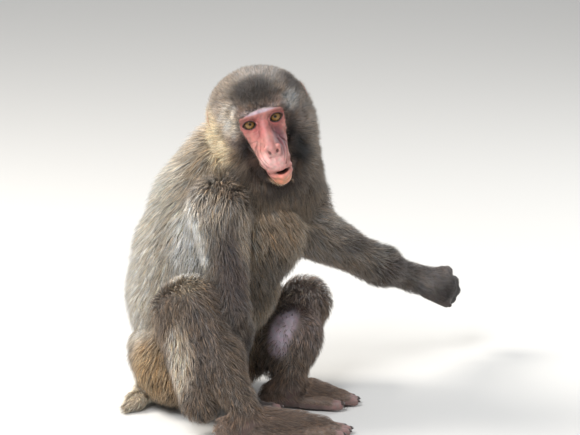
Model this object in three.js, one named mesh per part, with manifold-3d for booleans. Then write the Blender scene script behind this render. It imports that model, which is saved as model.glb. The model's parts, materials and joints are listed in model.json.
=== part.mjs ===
// A life-size sitting macaque, made as a museum model: an adult female Japanese macaque that sits on
// its rump with the knees drawn up, turns its head to its right, rests its right hand on the floor
// between its feet and reaches out to its left with the other arm.
//
// Millimetres, +Z up. The origin is on the floor under the rump. The pelvis faces -Y, so the animal's
// left is +X. The body is one implicit surface: each named part owns a few rounded masses of flesh with
// a depth of coat over them, the masses melt into one another, and each part of the body is the share of
// the whole that lies nearest to its own masses, parted from its neighbours by a thin cut.
import * as THREE from "three";
import { mergeVertices } from "three/addons/utils/BufferGeometryUtils.js";
import Module from "manifold-3d";

const wasm = await Module();
wasm.setup();

// ---------------------------------------------------------------- driving dimensions
const MELT = 15; // how far the masses melt into one another
const CUT = 1.2; // gap of the thin cuts between parts
const SMOOTH = { outside: 0.25, cuts: 0.072 }; // how far a corner may move off the facets around it, in cells
const SIDES = { left: 1, right: -1 };

// depth of the coat, from the skin to the outline of the lying hair
const COAT = {
  back: 27,
  flank: 24,
  belly: 17,
  chest: 20,
  nape: 24,
  crown: 12,
  temple: 12,
  cheek: 19,
  brow: 1,
  face: 0.6,
  chin: 3,
  ear: 2,
  shoulder: 20,
  upperArm: 15,
  elbow: 12,
  forearm: 13,
  hand: 3,
  finger: 1,
  thigh: 17,
  knee: 13,
  calf: 14,
  instep: 8,
  foot: 4,
  toe: 1,
  tail: 15,
};

// the head's frame: its origin midway between the eyes, then turned to the right, nodded and tilted
const HEAD = { at: [-49, -131, 383], turn: -53, nod: 2, tilt: -16.5 };
const EYE = { radius: 10, spacing: 34, depth: -0.5 };

// joints of the pose
const JOINT = {
  pelvis: [0, 4, 68],
  chest: [4, -34, 232],
  neckLow: [8, -74, 278],
  tailRoot: [-26, 42, 22],
  tailBend: [-74, 38, 11],
  tailTip: [-103, 42, 5.5],
  hip: { left: [42, -12, 58], right: [-42, -6, 58] },
  knee: { left: [125, -91, 110], right: [-113, -69, 163] },
  ankle: { left: [31, -123, 36], right: [-120, -148, 38] },
  toes: { left: [85, -186, 7], right: [-28, -238, 7] },
  shoulder: { left: [76, -119, 221], right: [-58, -76, 268] },
  elbow: { left: [190, -141, 158], right: [-80, -104, 152] },
  wrist: { left: [288, -157, 112], right: [-53, -92, 56] },
  knuckles: { left: [326, -189, 97], right: [-51, -113, 21] },
  shoulderTop: { left: [72, -112, 254], right: [-58, -76, 270] },
};

// grid cells of the faceted surfaces
const CELL = { cut: 13, trunk: 20, head: 9.5, face: 5, neck: 15, limb: 13.5, shin: 15, hand: 5.9, foot: 6.8, tail: 8, ear: 5 };

// ---------------------------------------------------------------- small helpers
const vec = (p) => new THREE.Vector3(...p);
const degrees = THREE.MathUtils.degToRad;
const mix = (a, b, t) => vec(a).lerp(vec(b), t).toArray();
const plus = (a, b) => vec(a).add(vec(b)).toArray();

const headMatrix = new THREE.Matrix4()
  .makeRotationFromEuler(new THREE.Euler(degrees(HEAD.nod), degrees(HEAD.tilt), degrees(HEAD.turn), "ZXY"))
  .setPosition(...HEAD.at);
const onHead = (x, y, z) => vec([x, y, z]).applyMatrix4(headMatrix).toArray();

// ---------------------------------------------------------------- rounded masses
// Each mass gives the distance from a point to its outline, coat included, negative inside.

// an ellipsoid of flesh under a coat, turned by a matrix
function mass(at, radii, coat, matrix = new THREE.Matrix4()) {
  const inverse = new THREE.Matrix3().setFromMatrix4(matrix).transpose();
  const centre = vec(at);
  const size = vec(radii).addScalar(coat);
  const p = new THREE.Vector3();
  const q = new THREE.Vector3();
  return (x, y, z) => {
    p.set(x, y, z).sub(centre).applyMatrix3(inverse).divide(size);
    const k = p.length();
    return k < 1e-6 ? -Math.min(...size) : (k * (k - 1)) / q.copy(p).divide(size).length();
  };
}

// a mass of the head, placed and turned in the head's frame
const headMass = (at, radii, coat) => mass(onHead(...at), radii, coat, headMatrix);

// a tapered limb from a to b with round ends
function limb(a, b, startRadius, endRadius, coat, endCoat = coat) {
  const start = vec(a);
  const axis = vec(b).sub(start);
  const length2 = axis.lengthSq();
  const [r1, r2] = [startRadius + coat, endRadius + endCoat];
  const drop = r1 - r2;
  const slant2 = length2 - drop * drop;
  const p = new THREE.Vector3();
  return (px, py, pz) => {
    p.set(px, py, pz).sub(start);
    const along = p.dot(axis);
    const beyond = along - length2;
    const across2 = p.multiplyScalar(length2).addScaledVector(axis, -along).lengthSq();
    const beyond2 = beyond * beyond * length2;
    const k = Math.sign(drop) * drop * drop * across2;
    if (Math.sign(beyond) * slant2 * beyond2 > k) return Math.sqrt(across2 + beyond2) / length2 - r2;
    if (Math.sign(along) * slant2 * along * along * length2 < k)
      return Math.sqrt(across2 + along * along * length2) / length2 - r1;
    return (Math.sqrt((across2 * slant2) / length2) + along * drop) / length2 - r1;
  };
}
const headLimb = (a, b, r1, r2, coat) => limb(onHead(...a), onHead(...b), r1, r2, coat);

// ---------------------------------------------------------------- the parts and their masses
const trunk = () => [
  mass(JOINT.pelvis, [60, 54, 56], COAT.flank),
  mass([0, -10, 146], [70, 66, 78], COAT.back),
  mass([-2, -22, 200], [64, 66, 62], COAT.back),
  mass([10, -48, 164], [52, 52, 60], COAT.belly),
  mass(JOINT.chest, [62, 63, 66], COAT.back),
  mass([18, -84, 232], [56, 44, 60], COAT.chest),
  limb([-2, -34, 262], [-4, -62, 312], 52, 40, COAT.nape),
];

const neck = () => [
  limb(JOINT.neckLow, onHead(0, 52, -30), 42, 37, COAT.nape),
  limb([46, -102, 282], onHead(18, 46, -62), 35, 25, COAT.nape, COAT.cheek),
];

const tail = () => [
  limb(JOINT.tailRoot, JOINT.tailBend, 9, 5, COAT.tail - 3, COAT.tail - 9),
  limb(JOINT.tailBend, JOINT.tailTip, 5, 1, COAT.tail - 9, COAT.tail - 11),
];

const head = () => [
  headMass([-1, 50, 9], [40, 50, 34], COAT.crown),
  ...[-1, 1].flatMap((side) => [
    headMass([side * 28, 46, -22], [22, 27, 32], COAT.cheek),
    headMass([side * 25, 42, 10], [20, 25, 24], COAT.temple),
  ]),
  headMass([0, 46, -46], [36, 28, 30], COAT.cheek),
];

// the bare face: brow, orbits, cheekbones, nose, upper jaw and chin
const muzzle = () => [
  headLimb([-23, -4, 12], [23, -4, 12], 6.5, 6.5, COAT.brow),
  headLimb([-19, 8, 0], [19, 8, 0], 13, 13, COAT.face),
  ...[-1, 1].flatMap((side) => [
    headMass([side * 24, 6, -9], [10, 13, 14], COAT.face),
    headLimb([side * 12, -1, -18], [side * 9, -20, -45], 12, 10, COAT.face),
  ]),
  headLimb([0, -4, 2], [0, -33, -31], 8, 7, COAT.face),
  headLimb([0, 0, -18], [1, -21, -46], 20, 15.5, COAT.face),
  headLimb([0, 22, -58], [3, -17, -68], 18, 12, COAT.chin),
];

function ear(name) {
  const side = SIDES[name];
  const turned = headMatrix.clone().multiply(new THREE.Matrix4().makeRotationZ(degrees(side * 28)));
  return [mass(onHead(side * 57, 42, 4), [3, 11, 17], COAT.ear, turned)];
}

const upperArm = (side) => [
  mass(JOINT.shoulderTop[side], [24, 24, 26], COAT.shoulder),
  limb(JOINT.shoulder[side], JOINT.elbow[side], 25, 14, COAT.upperArm, COAT.elbow),
];

const forearm = (side) => [
  limb(JOINT.elbow[side], mix(JOINT.elbow[side], JOINT.wrist[side], 0.35), 15, 15, COAT.forearm),
  limb(mix(JOINT.elbow[side], JOINT.wrist[side], 0.3), JOINT.wrist[side], 15, 10, COAT.forearm - 3),
];

// The hand: a palm from the wrist to the knuckles, four fingers bent at each phalanx and a thumb.
// across is the unit line from the thumb to the little finger.
function hand(side) {
  const [wrist, knuckles] = [JOINT.wrist[side], JOINT.knuckles[side]];
  const { across, bends } = HAND_POSE[side];
  const row = (t) => vec(across).multiplyScalar(t).toArray();
  const forward = vec(knuckles).sub(vec(wrist)).normalize();
  const back = (t) => forward.clone().multiplyScalar(-t).toArray();
  const palm = [5, 0, 8].map((set, n) => plus(plus(knuckles, row((n - 1) * 12)), back(set)));
  const shapes = palm.map((end, n) => limb(plus(wrist, row((n - 1) * 7)), end, 8, 8.5, COAT.hand));
  for (let finger = 0; finger < 4; finger += 1) {
    let joint = plus(plus(knuckles, row((finger - 1.5) * 11)), back([5, 0, 2, 10][finger]));
    bends.forEach((bend, phalanx) => {
      const length = [22, 15, 10][phalanx] * [0.88, 1, 0.96, 0.8][finger];
      const next = plus(joint, vec(bend).normalize().multiplyScalar(length).toArray());
      shapes.push(limb(joint, next, 6.6 - phalanx * 0.5, 6.1 - phalanx * 0.5, COAT.finger));
      joint = next;
    });
  }
  const thumbRoot = plus(mix(wrist, knuckles, 0.35), row(-15));
  const thumbTip = plus(mix(wrist, knuckles, 0.95), row(-23));
  shapes.push(limb(thumbRoot, thumbTip, 6.5, 5.2, COAT.finger));
  return shapes;
}

const HAND_POSE = {
  left: {
    across: [0.21, 0.1, 0.97],
    bends: [
      [0.97, 0.1, -0.22],
      [0.37, 0.91, -0.19],
      [-0.37, 0.94, -0.04],
    ],
  },
  right: {
    across: [-0.82, -0.5, 0],
    bends: [
      [0.45, -0.72, -0.5],
      [0.5, -0.82, -0.1],
      [0.5, -0.85, 0],
    ],
  },
};

const thigh = (side) => [
  mass(mix(JOINT.hip[side], JOINT.knee[side], 0.12), [38, 46, 44], COAT.thigh),
  limb(JOINT.hip[side], JOINT.knee[side], 37, 18, COAT.thigh, COAT.knee),
];

// how far the calf stands off the line from the knee to the ankle, its radius, and the runs of long hair
// behind it
const CALF = {
  left: { stand: [-8, 6, 4], radius: 28, behind: [limb([65, -86, 78], [49, -96, 53], 23, 15, 14, 12)] },
  right: { stand: [9, 7, -6], radius: 23, behind: [limb([-115, -47, 151], [-113, -79, 76], 21, 13, 14, 13), limb([-115, -57, 130], [-124, -88, 44], 20, 17, 14, 13)] },
};

const lowerLeg = (side) => {
  const { stand, radius, behind } = CALF[side];
  const calf = plus(mix(JOINT.knee[side], JOINT.ankle[side], 0.48), stand);
  return [
    mass(JOINT.knee[side], [21, 21, 21], COAT.knee),
    limb(JOINT.knee[side], calf, 20, radius, COAT.knee, COAT.calf),
    limb(calf, JOINT.ankle[side], radius - 1, 11, COAT.calf - 2),
    ...behind,
  ];
};

// The foot: a heel, a long flat sole and five toes; the great toe stands off on the inner side.
const INSTEP = { left: 14, right: 20 };
function foot(side) {
  const ankle = vec(JOINT.ankle[side]);
  const tips = vec(JOINT.toes[side]);
  const forward = tips.clone().sub(ankle).setZ(0).normalize();
  const outward = new THREE.Vector3(0, 0, 1).cross(forward).multiplyScalar(SIDES[side]);
  const reach = Math.hypot(tips.x - ankle.x, tips.y - ankle.y);
  const at = (along, out, up) =>
    [ankle.x, ankle.y, 0]
      .map((c, i) => c + forward.toArray()[i] * along + outward.toArray()[i] * out)
      .map((c, i) => (i === 2 ? up : c));
  const shapes = [
    limb(at(0, 0, 32), at(-18, 0, 19), 14, 13, COAT.instep),
    limb(at(-24, 0, 15), at(reach * 0.45, 0, 13), 13, 11, COAT.foot),
    limb(at(2, 0, 28), at(reach * 0.52, 4, INSTEP[side]), 14, 11, COAT.instep, COAT.foot + 1),
  ];
  shapes.push(limb(at(reach * 0.5, 2, INSTEP[side]), at(reach * 0.76, 2, INSTEP[side] - 5), 11, 8, COAT.foot + 1, COAT.foot));
  [-7, 3, 13].forEach((out) => shapes.push(limb(at(reach * 0.1, out / 2, 13), at(reach * 0.62, out, 10), 10, 8, COAT.foot - 1)));
  for (let toe = 0; toe < 4; toe += 1) {
    const out = (toe - 1) * 10 + 2;
    const length = reach * [0.97, 1, 0.96, 0.88][toe];
    shapes.push(limb(at(reach * 0.58, out * 0.9, 10), at(length * 0.82, out * 1.1, 10), 7, 6, COAT.toe));
    shapes.push(limb(at(length * 0.82, out * 1.1, 10), at(length, out * 1.15, 6), 6, 5, COAT.toe));
  }
  shapes.push(limb(at(reach * 0.2, -12, 11), at(reach * 0.68, -27, 8), 9, 6.5, COAT.toe));
  return shapes;
}

// every part of flesh: its masses, the cell of its faceted surface and its colour
const COLOUR = { coat: 0x8a7a66, pale: 0xa3937d, skin: 0xc4807a, dark: 0x5a4a40, eye: 0x7a5420 };
const bothSides = (name, shapes, cell, colour) =>
  Object.keys(SIDES).map((side) => ({ name: `${name}_${side}`, shapes: shapes(side), cell, colour }));
const PARTS = [
  ...bothSides("ear", ear, CELL.ear, COLOUR.skin),
  { name: "muzzle", shapes: muzzle(), cell: CELL.face, colour: COLOUR.skin },
  { name: "head", shapes: head(), cell: CELL.head, colour: COLOUR.coat },
  { name: "neck", shapes: neck(), cell: CELL.neck, colour: COLOUR.coat },
  ...bothSides("hand", hand, CELL.hand, COLOUR.dark),
  ...bothSides("forearm", forearm, CELL.limb, COLOUR.coat),
  ...bothSides("upper_arm", upperArm, CELL.limb, COLOUR.pale),
  ...bothSides("foot", foot, CELL.foot, COLOUR.dark),
  ...bothSides("lower_leg", lowerLeg, CELL.shin, COLOUR.coat),
  ...bothSides("thigh", thigh, CELL.limb, COLOUR.coat),
  { name: "tail", shapes: tail(), cell: CELL.tail, colour: COLOUR.coat },
  { name: "trunk", shapes: trunk(), cell: CELL.trunk, colour: COLOUR.pale },
];

// ---------------------------------------------------------------- fields
// smooth union of two distances: k is the reach of the melt
function melt(a, b, k) {
  const h = Math.max(k - Math.abs(a - b), 0) / k;
  return Math.min(a, b) - (h * h * k) / 4;
}

const FINE = new Set(["hand_left", "hand_right", "foot_left", "foot_right", "muzzle"]);
const meltOf = (part) => (FINE.has(part.name) ? MELT / 3 : MELT);
const partField = (part) => (x, y, z) =>
  part.shapes.reduce((distance, shape) => melt(distance, shape(x, y, z), meltOf(part)), 1e3);
const EAR_SHARE = 8; // an ear keeps the flesh this far into the head's coat
PARTS.forEach((part) => {
  part.field = partField(part);
});
// the arms and head melt into the trunk, and so do the legs, but not into one another
const meltOfParts = (parts) => (x, y, z) =>
  parts.reduce((distance, part) => melt(distance, part.field(x, y, z), MELT * 0.6), 1e3);
const isLeg = (part) => /foot|leg|thigh|tail/.test(part.name);
const upperBody = meltOfParts(PARTS.filter((part) => !isLeg(part)));
const lowerBody = meltOfParts(PARTS.filter((part) => isLeg(part) || part.name === "trunk"));
const bodyField = (x, y, z) => Math.min(upperBody(x, y, z), lowerBody(x, y, z));
const fieldAround = (part) => (isLeg(part) ? lowerBody : part.name === "trunk" ? bodyField : upperBody);

// positive where a later part lies nearer than this one
const shareField = (part) => {
  const later = PARTS.slice(PARTS.indexOf(part) + 1);
  const bonus = part.name.startsWith("ear") ? EAR_SHARE : 0;
  const least = (x, y, z) => later.reduce((nearest, other) => Math.min(nearest, other.field(x, y, z)), 1e3);
  return (x, y, z) => part.field(x, y, z) - bonus - least(x, y, z);
};

// ---------------------------------------------------------------- surface nets
// One vertex in each cell that the surface crosses, four cells joined round each crossed grid edge,
// then every vertex moved onto the surface along its gradient. Outside the box all is empty.
function surfaceOf(field, box, cell) {
  const size = box.getSize(new THREE.Vector3());
  const count = size.toArray().map((s) => Math.ceil(s / cell) + 2);
  const [nx, ny, nz] = count;
  const at = (i, j, k) => [i, j, k].map((n, axis) => box.min.getComponent(axis) + (n - 0.5) * cell);
  const index = (i, j, k) => (k * ny + j) * nx + i;
  const values = new Float64Array(nx * ny * nz);
  const edge = (n, most) => n === 0 || n === most - 1;
  for (let k = 0; k < nz; k += 1)
    for (let j = 0; j < ny; j += 1)
      for (let i = 0; i < nx; i += 1) {
        const outer = edge(i, nx) || edge(j, ny) || edge(k, nz);
        const distance = field(...at(i, j, k));
        values[index(i, j, k)] = outer ? Math.max(distance, cell / 2) : distance;
      }

  const corners = [0, 1, 2, 3, 4, 5, 6, 7].map((n) => [n & 1, (n >> 1) & 1, n >> 2]);
  const edges = corners.flatMap((a, m) => corners.slice(m + 1).flatMap((b) => (isEdge(a, b) ? [[a, b]] : [])));
  const vertexOf = new Int32Array(nx * ny * nz).fill(-1);
  const positions = [];
  for (let k = 0; k < nz - 1; k += 1)
    for (let j = 0; j < ny - 1; j += 1)
      for (let i = 0; i < nx - 1; i += 1) {
        const sum = new THREE.Vector3();
        let crossings = 0;
        for (const [a, b] of edges) {
          const va = values[index(i + a[0], j + a[1], k + a[2])];
          const vb = values[index(i + b[0], j + b[1], k + b[2])];
          if (va < 0 !== vb < 0) {
            sum.add(vec(a).lerp(vec(b), va / (va - vb)));
            crossings += 1;
          }
        }
        if (!crossings) continue;
        const base = at(i, j, k);
        const local = sum.divideScalar(crossings).multiplyScalar(cell).toArray();
        vertexOf[index(i, j, k)] = positions.length / 3;
        positions.push(...ontoSurface(field, box, base.map((b, n) => b + local[n]), cell));
      }

  const faces = [];
  const step = [1, nx, nx * ny];
  for (let k = 0; k < nz - 1; k += 1)
    for (let j = 0; j < ny - 1; j += 1)
      for (let i = 0; i < nx - 1; i += 1)
        for (let axis = 0; axis < 3; axis += 1) {
          const here = index(i, j, k);
          const inside = values[here] < 0;
          if (inside === values[here + step[axis]] < 0) continue;
          const [u, v] = [step[(axis + 1) % 3], step[(axis + 2) % 3]];
          const quad = [here, here - u, here - u - v, here - v].map((n) => vertexOf[n]);
          if (!inside) quad.reverse();
          faces.push(quad[0], quad[1], quad[2], quad[0], quad[2], quad[3]);
        }
  const geometry = new THREE.BufferGeometry();
  geometry.setAttribute("position", new THREE.Float32BufferAttribute(positions, 3));
  geometry.setIndex(faces);
  return geometry;
}

const isEdge = (a, b) => Math.abs(a[0] - b[0]) + Math.abs(a[1] - b[1]) + Math.abs(a[2] - b[2]) === 1;

function ontoSurface(field, box, start, cell) {
  const h = 0.5;
  let p = start;
  for (let round = 0; round < 3; round += 1) {
    const d = field(...p);
    const slope = [0, 1, 2].map((n) => (field(...p.map((c, m) => (m === n ? c + h : c))) - d) / h);
    const steep = slope.reduce((sum, s) => sum + s * s, 0);
    if (steep < 0.05) break;
    p = p.map((c, n) => c - THREE.MathUtils.clamp((0.9 * d * slope[n]) / steep, -cell * 0.3, cell * 0.3));
  }
  const keeps = p.every((c, n) => Math.abs(c - start[n]) < cell * 0.6) && box.containsPoint(vec(p));
  return keeps ? p : start;
}

// ---------------------------------------------------------------- solids
function solidOf(geometry) {
  const bare = geometry.clone();
  bare.deleteAttribute("normal");
  bare.deleteAttribute("uv");
  const merged = mergeVertices(bare, 1e-4);
  return new wasm.Manifold(
    new wasm.Mesh({
      numProp: 3,
      vertProperties: new Float32Array(merged.attributes.position.array),
      triVerts: new Uint32Array(merged.index.array),
    }),
  );
}

function geometryOf(solid) {
  const mesh = solid.getMesh();
  const geometry = new THREE.BufferGeometry();
  geometry.setAttribute("position", new THREE.BufferAttribute(mesh.vertProperties, 3));
  geometry.setIndex(new THREE.BufferAttribute(mesh.triVerts, 1));
  geometry.computeVertexNormals();
  return geometry;
}

// ---------------------------------------------------------------- thinning
// Fewer facets: a corner is drawn along an edge into its neighbour where that moves the surface by less
// than the allowance, cheapest corners first, for as long as the surface stays closed and unfolded.
function thin(solid, cell) {
  const mesh = solid.getMesh();
  const point = (v) => new THREE.Vector3().fromArray(mesh.vertProperties, v * 3);
  const points = Array.from({ length: mesh.vertProperties.length / 3 }, (_, v) => point(v));
  const faces = Array.from({ length: mesh.triVerts.length / 3 }, (_, f) => [...mesh.triVerts.slice(f * 3, f * 3 + 3)]);
  const around = points.map(() => new Set());
  const planes = points.map(() => []);
  const allowed = points.map(() => SMOOTH.outside * cell);
  const normalOf = ([a, b, c]) => {
    const edge = points[b].clone().sub(points[a]);
    return edge.cross(points[c].clone().sub(points[a]));
  };
  faces.forEach((face, f) => {
    const normal = normalOf(face);
    const area = normal.length() / 2;
    normal.normalize();
    const centre = face.reduce((sum, v) => sum.add(points[v]), new THREE.Vector3()).divideScalar(3);
    const onCut = Math.abs(bodyField(...centre)) > 2.5 || centre.z < 0.1;
    for (const v of face) {
      around[v].add(f);
      if (onCut) allowed[v] = SMOOTH.cuts * Math.min(cell, 11);
      if (area > 0.05) planes[v].push([normal, -normal.dot(points[v])]);
    }
  });

  const neighbours = (v) => new Set([...around[v]].flatMap((f) => faces[f]).filter((w) => w !== v));
  const cost = (from, to) =>
    planes[from].reduce((most, [normal, offset]) => Math.max(most, Math.abs(normal.dot(points[to]) + offset)), 0);
  const leavesFloor = (from, to) => points[from].z < 1e-5 && points[to].z > 1e-5;
  const keepsShape = (from, to) => {
    if (leavesFloor(from, to)) return false;
    const shared = [...neighbours(from)].filter((v) => neighbours(to).has(v));
    if (shared.length !== 2) return false;
    return [...around[from]].every((f) => {
      if (faces[f].includes(to)) return true;
      const after = normalOf(faces[f].map((v) => (v === from ? to : v)));
      const before = normalOf(faces[f]);
      return after.length() > 0.02 && (before.length() < 0.1 || after.dot(before) > 0.35 * after.length() * before.length());
    });
  };

  for (let pass = 0, moved = 1; moved && pass < 12; pass += 1) {
    moved = 0;
    const moves = [];
    points.forEach((_, from) => {
      for (const to of neighbours(from)) {
        const price = cost(from, to);
        if (price < allowed[from] * Math.min((pass + 1) / 6, 1)) moves.push([price + points[from].distanceTo(points[to]) * 1e-4, from, to]);
      }
    });
    moves.sort((a, b) => a[0] - b[0]);
    const touched = new Set();
    for (const [, from, to] of moves) {
      if (touched.has(from) || touched.has(to) || !around[from].size || !around[to].size || !keepsShape(from, to)) continue;
      for (const v of neighbours(from)) touched.add(v);
      for (const f of [...around[from]]) {
        if (faces[f].includes(to)) {
          faces[f].forEach((v) => around[v].delete(f));
        } else {
          around[to].add(f);
          faces[f] = faces[f].map((v) => (v === from ? to : v));
        }
      }
      around[from].clear();
      planes[to].push(...planes[from]);
      touched.add(from);
      moved += 1;
    }
  }
  const kept = faces.filter((face, f) => face.every((v) => around[v].has(f)));
  const geometry = new THREE.BufferGeometry().setFromPoints(points);
  geometry.setIndex(kept.flat());
  return solidOf(geometry);
}

// move the chosen corners of a surface outwards along its normals
function swell(geometry, by, chosen = () => true) {
  const { position, normal } = geometry.attributes;
  for (let v = 0; v < position.count; v += 1) {
    if (!chosen(v)) continue;
    const moved = new THREE.Vector3().fromBufferAttribute(position, v);
    moved.addScaledVector(new THREE.Vector3().fromBufferAttribute(normal, v), by);
    position.setXYZ(v, ...moved);
  }
  return geometry;
}

// two corners of one solid that touch without being joined are both drawn a little inwards
function parted(geometry) {
  const { position } = geometry.attributes;
  const keys = Array.from({ length: position.count }, (_, v) =>
    [position.getX(v), position.getY(v), position.getZ(v)].map((c) => Math.round(c * 200)).join(),
  );
  const seen = new Map();
  keys.forEach((key) => seen.set(key, (seen.get(key) ?? 0) + 1));
  return swell(geometry, -0.08, (v) => seen.get(keys[v]) > 1);
}

const largest = (solid) => solid.decompose().reduce((a, b) => (a.volume() > b.volume() ? a : b));

// the box that holds a part's masses, found by walking its field on a coarse grid
function boxOf(part, margin) {
  const box = new THREE.Box3();
  const pace = 8;
  for (let x = -220; x < 400; x += pace)
    for (let y = -300; y < 160; y += pace)
      for (let z = -20; z < 500; z += pace) if (part.field(x, y, z) < pace) box.expandByPoint(vec([x, y, z]));
  return box.expandByScalar(margin);
}

const headPoint = (x, y, z) => new THREE.Vector3(...onHead(x, y, z));
const eyeCentre = (side) => headPoint((SIDES[side] * EYE.spacing) / 2, EYE.depth, 0);
const eyeBall = (side, grow) =>
  new THREE.SphereGeometry(EYE.radius + grow, 14, 8).applyMatrix4(
    new THREE.Matrix4().setPosition(eyeCentre(side)),
  );

const FLOOR_DEPTH = 40;
const floor = solidOf(new THREE.BoxGeometry(1000, 1000, FLOOR_DEPTH).translate(0, 0, -FLOOR_DEPTH / 2));
const sockets = Object.keys(SIDES).map((side) => solidOf(eyeBall(side, CUT)));

// ---------------------------------------------------------------- assembly
const model = new THREE.Group();

function addMesh(name, geometry, colour, roughness = 0.9) {
  const material = new THREE.MeshStandardMaterial({ color: colour, roughness, metalness: 0 });
  const mesh = new THREE.Mesh(geometry, material);
  mesh.name = name;
  model.add(mesh);
}

const earlier = [];
for (const part of PARTS) {
  const box = boxOf(part, part.cell);
  const share = shareField(part);
  const whole = solidOf(surfaceOf(fieldAround(part), box, part.cell));
  let solid = whole.subtract(floor);
  if (part !== PARTS.at(-1)) {
    const shareCell = part.cell < CELL.foot ? part.cell * 1.8 : CELL.cut;
    const wide = box.clone().expandByScalar(shareCell);
    solid = solid.intersect(solidOf(surfaceOf(share, wide, shareCell)));
    part.cutter = solidOf(surfaceOf((x, y, z) => share(x, y, z) - CUT * 2, wide, shareCell));
    part.box = wide;
  }
  for (const other of earlier) if (other.box.intersectsBox(box)) solid = solid.subtract(other.cutter);
  solid = thin(largest(solid), part.cell);
  if (["head", "muzzle"].includes(part.name)) solid = sockets.reduce((rest, socket) => rest.subtract(socket), solid);
  for (const other of earlier) if (other.box.intersectsBox(box)) solid = solid.subtract(other.grown);
  solid = largest(solid).simplify(CUT * 0.05);
  part.grown = solidOf(swell(geometryOf(solid), CUT * 0.4));
  earlier.push(part);
  addMesh(part.name, parted(geometryOf(solid)), part.colour);
}

for (const side of Object.keys(SIDES)) addMesh(`eye_${side}`, eyeBall(side, 0), COLOUR.eye, 0.15);

export default model;
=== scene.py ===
"""Looks of a life-size sitting macaque, made over its solids in one shared frame.

The body's lengths are in millimetres, as the solids' are, and every mesh is made in metres. The flesh is
one implicit surface with the coat's depth left off, so that a single skin lies inside the solids by that
depth. The coat is made of thin solid tufts rooted on the skin and combed down to the solids' outline.
"""

from __future__ import annotations

import json
import logging
import math
import time
from contextlib import contextmanager
from dataclasses import dataclass, field
from enum import Enum
from typing import Callable, Iterable, Iterator, Sequence

import bmesh
import bpy
import numpy as np
import openvdb
from mathutils import Matrix, Vector

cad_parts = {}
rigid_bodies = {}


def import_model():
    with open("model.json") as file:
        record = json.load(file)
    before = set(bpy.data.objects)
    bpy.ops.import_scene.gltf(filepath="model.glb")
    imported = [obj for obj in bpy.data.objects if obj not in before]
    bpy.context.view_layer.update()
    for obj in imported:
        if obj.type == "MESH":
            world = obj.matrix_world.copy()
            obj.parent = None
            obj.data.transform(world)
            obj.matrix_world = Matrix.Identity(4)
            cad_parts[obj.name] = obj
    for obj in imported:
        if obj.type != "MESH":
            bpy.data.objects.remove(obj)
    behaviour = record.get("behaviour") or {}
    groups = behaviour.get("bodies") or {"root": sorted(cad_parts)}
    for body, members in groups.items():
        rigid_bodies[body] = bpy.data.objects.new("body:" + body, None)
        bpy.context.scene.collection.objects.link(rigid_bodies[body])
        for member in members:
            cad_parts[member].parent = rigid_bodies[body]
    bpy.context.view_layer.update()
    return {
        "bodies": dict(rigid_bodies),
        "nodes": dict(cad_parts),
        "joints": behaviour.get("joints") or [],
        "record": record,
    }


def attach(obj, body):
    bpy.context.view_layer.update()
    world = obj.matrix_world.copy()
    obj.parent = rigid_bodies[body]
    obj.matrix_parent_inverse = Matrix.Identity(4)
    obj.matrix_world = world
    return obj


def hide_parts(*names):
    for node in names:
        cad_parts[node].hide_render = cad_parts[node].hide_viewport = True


LOG = logging.getLogger("macaque")
MM = 0.001
FAR = 1.0e3
TINY = 1.0e-9
Array = np.ndarray
Vec = tuple[float, float, float]
Pair = tuple[float, float]
Mesh = bpy.types.Mesh


class Side(Enum):
    """The animal's own left and right, with the sign of its +X."""

    LEFT = 1
    RIGHT = -1

    @property
    def word(self) -> str:
        """The side's word in node names."""
        return self.name.lower()


# ---- small maths
UP = np.array((0.0, 0.0, 1.0))


def unit(v: Array) -> Array:
    """Vectors along the last axis, scaled to length one."""
    v = np.asarray(v, float)
    return v / np.maximum(np.linalg.norm(v, axis=-1, keepdims=True), TINY)


def lengths(v: Array) -> Array:
    """The lengths of rows of numbers."""
    return np.linalg.norm(v, axis=1)


def vec(v: Sequence[float]) -> Array:
    """A sequence of numbers as a float array."""
    return np.asarray(v, float)


def mirrored(v: Vec, sign: float) -> Array:
    """A point or direction of the left side, or its mirror image where the sign is -1."""
    return vec((sign * v[0], v[1], v[2]))


def mix(a: Sequence[float] | Array, b: Sequence[float] | Array, t: float | Array) -> Array:
    """What lies at share t of the way from a to b: points, directions or colours."""
    return vec(a) * (1.0 - t) + vec(b) * t


def melt(a: Array, b: Array, k: float) -> Array:
    """Join two distances smoothly.

    Args:
        a: Distance to the first shape.
        b: Distance to the second shape.
        k: Reach of the join in millimetres.

    Returns:
        The distance to both shapes melted together.
    """
    h = np.maximum(k - np.abs(a - b), 0.0) / k
    return np.minimum(a, b) - h * h * (k * 0.25)


def carve(a: Array, b: Array, k: float) -> Array:
    """Take shape b out of shape a, with the edge rounded over k millimetres."""
    return -melt(-a, b, k)


def ramp(x: Array, low: float, high: float) -> Array:
    """Smooth step from 0 at low to 1 at high."""
    t = np.clip((x - low) / (high - low), 0.0, 1.0)
    return t * t * (3.0 - 2.0 * t)


def bell(x: Array, width: float, power: int = 2) -> Array:
    """A soft bump: 1 where x is 0, falling away beyond the width, more squarely for a higher power."""
    return np.exp(-((x / width) ** power))


def srgb(red: float, green: float, blue: float) -> Array:
    """A colour of 0 to 255 display values as linear light."""
    c = vec((red, green, blue)) / 255.0
    return np.where(c <= 0.04045, c / 12.92, ((c + 0.055) / 1.055) ** 2.4)


def turn_about_z(degrees: float) -> Array:
    """Rotation matrix about the vertical axis."""
    c, s = math.cos(math.radians(degrees)), math.sin(math.radians(degrees))
    return vec(((c, -s, 0), (s, c, 0), (0, 0, 1)))


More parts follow.
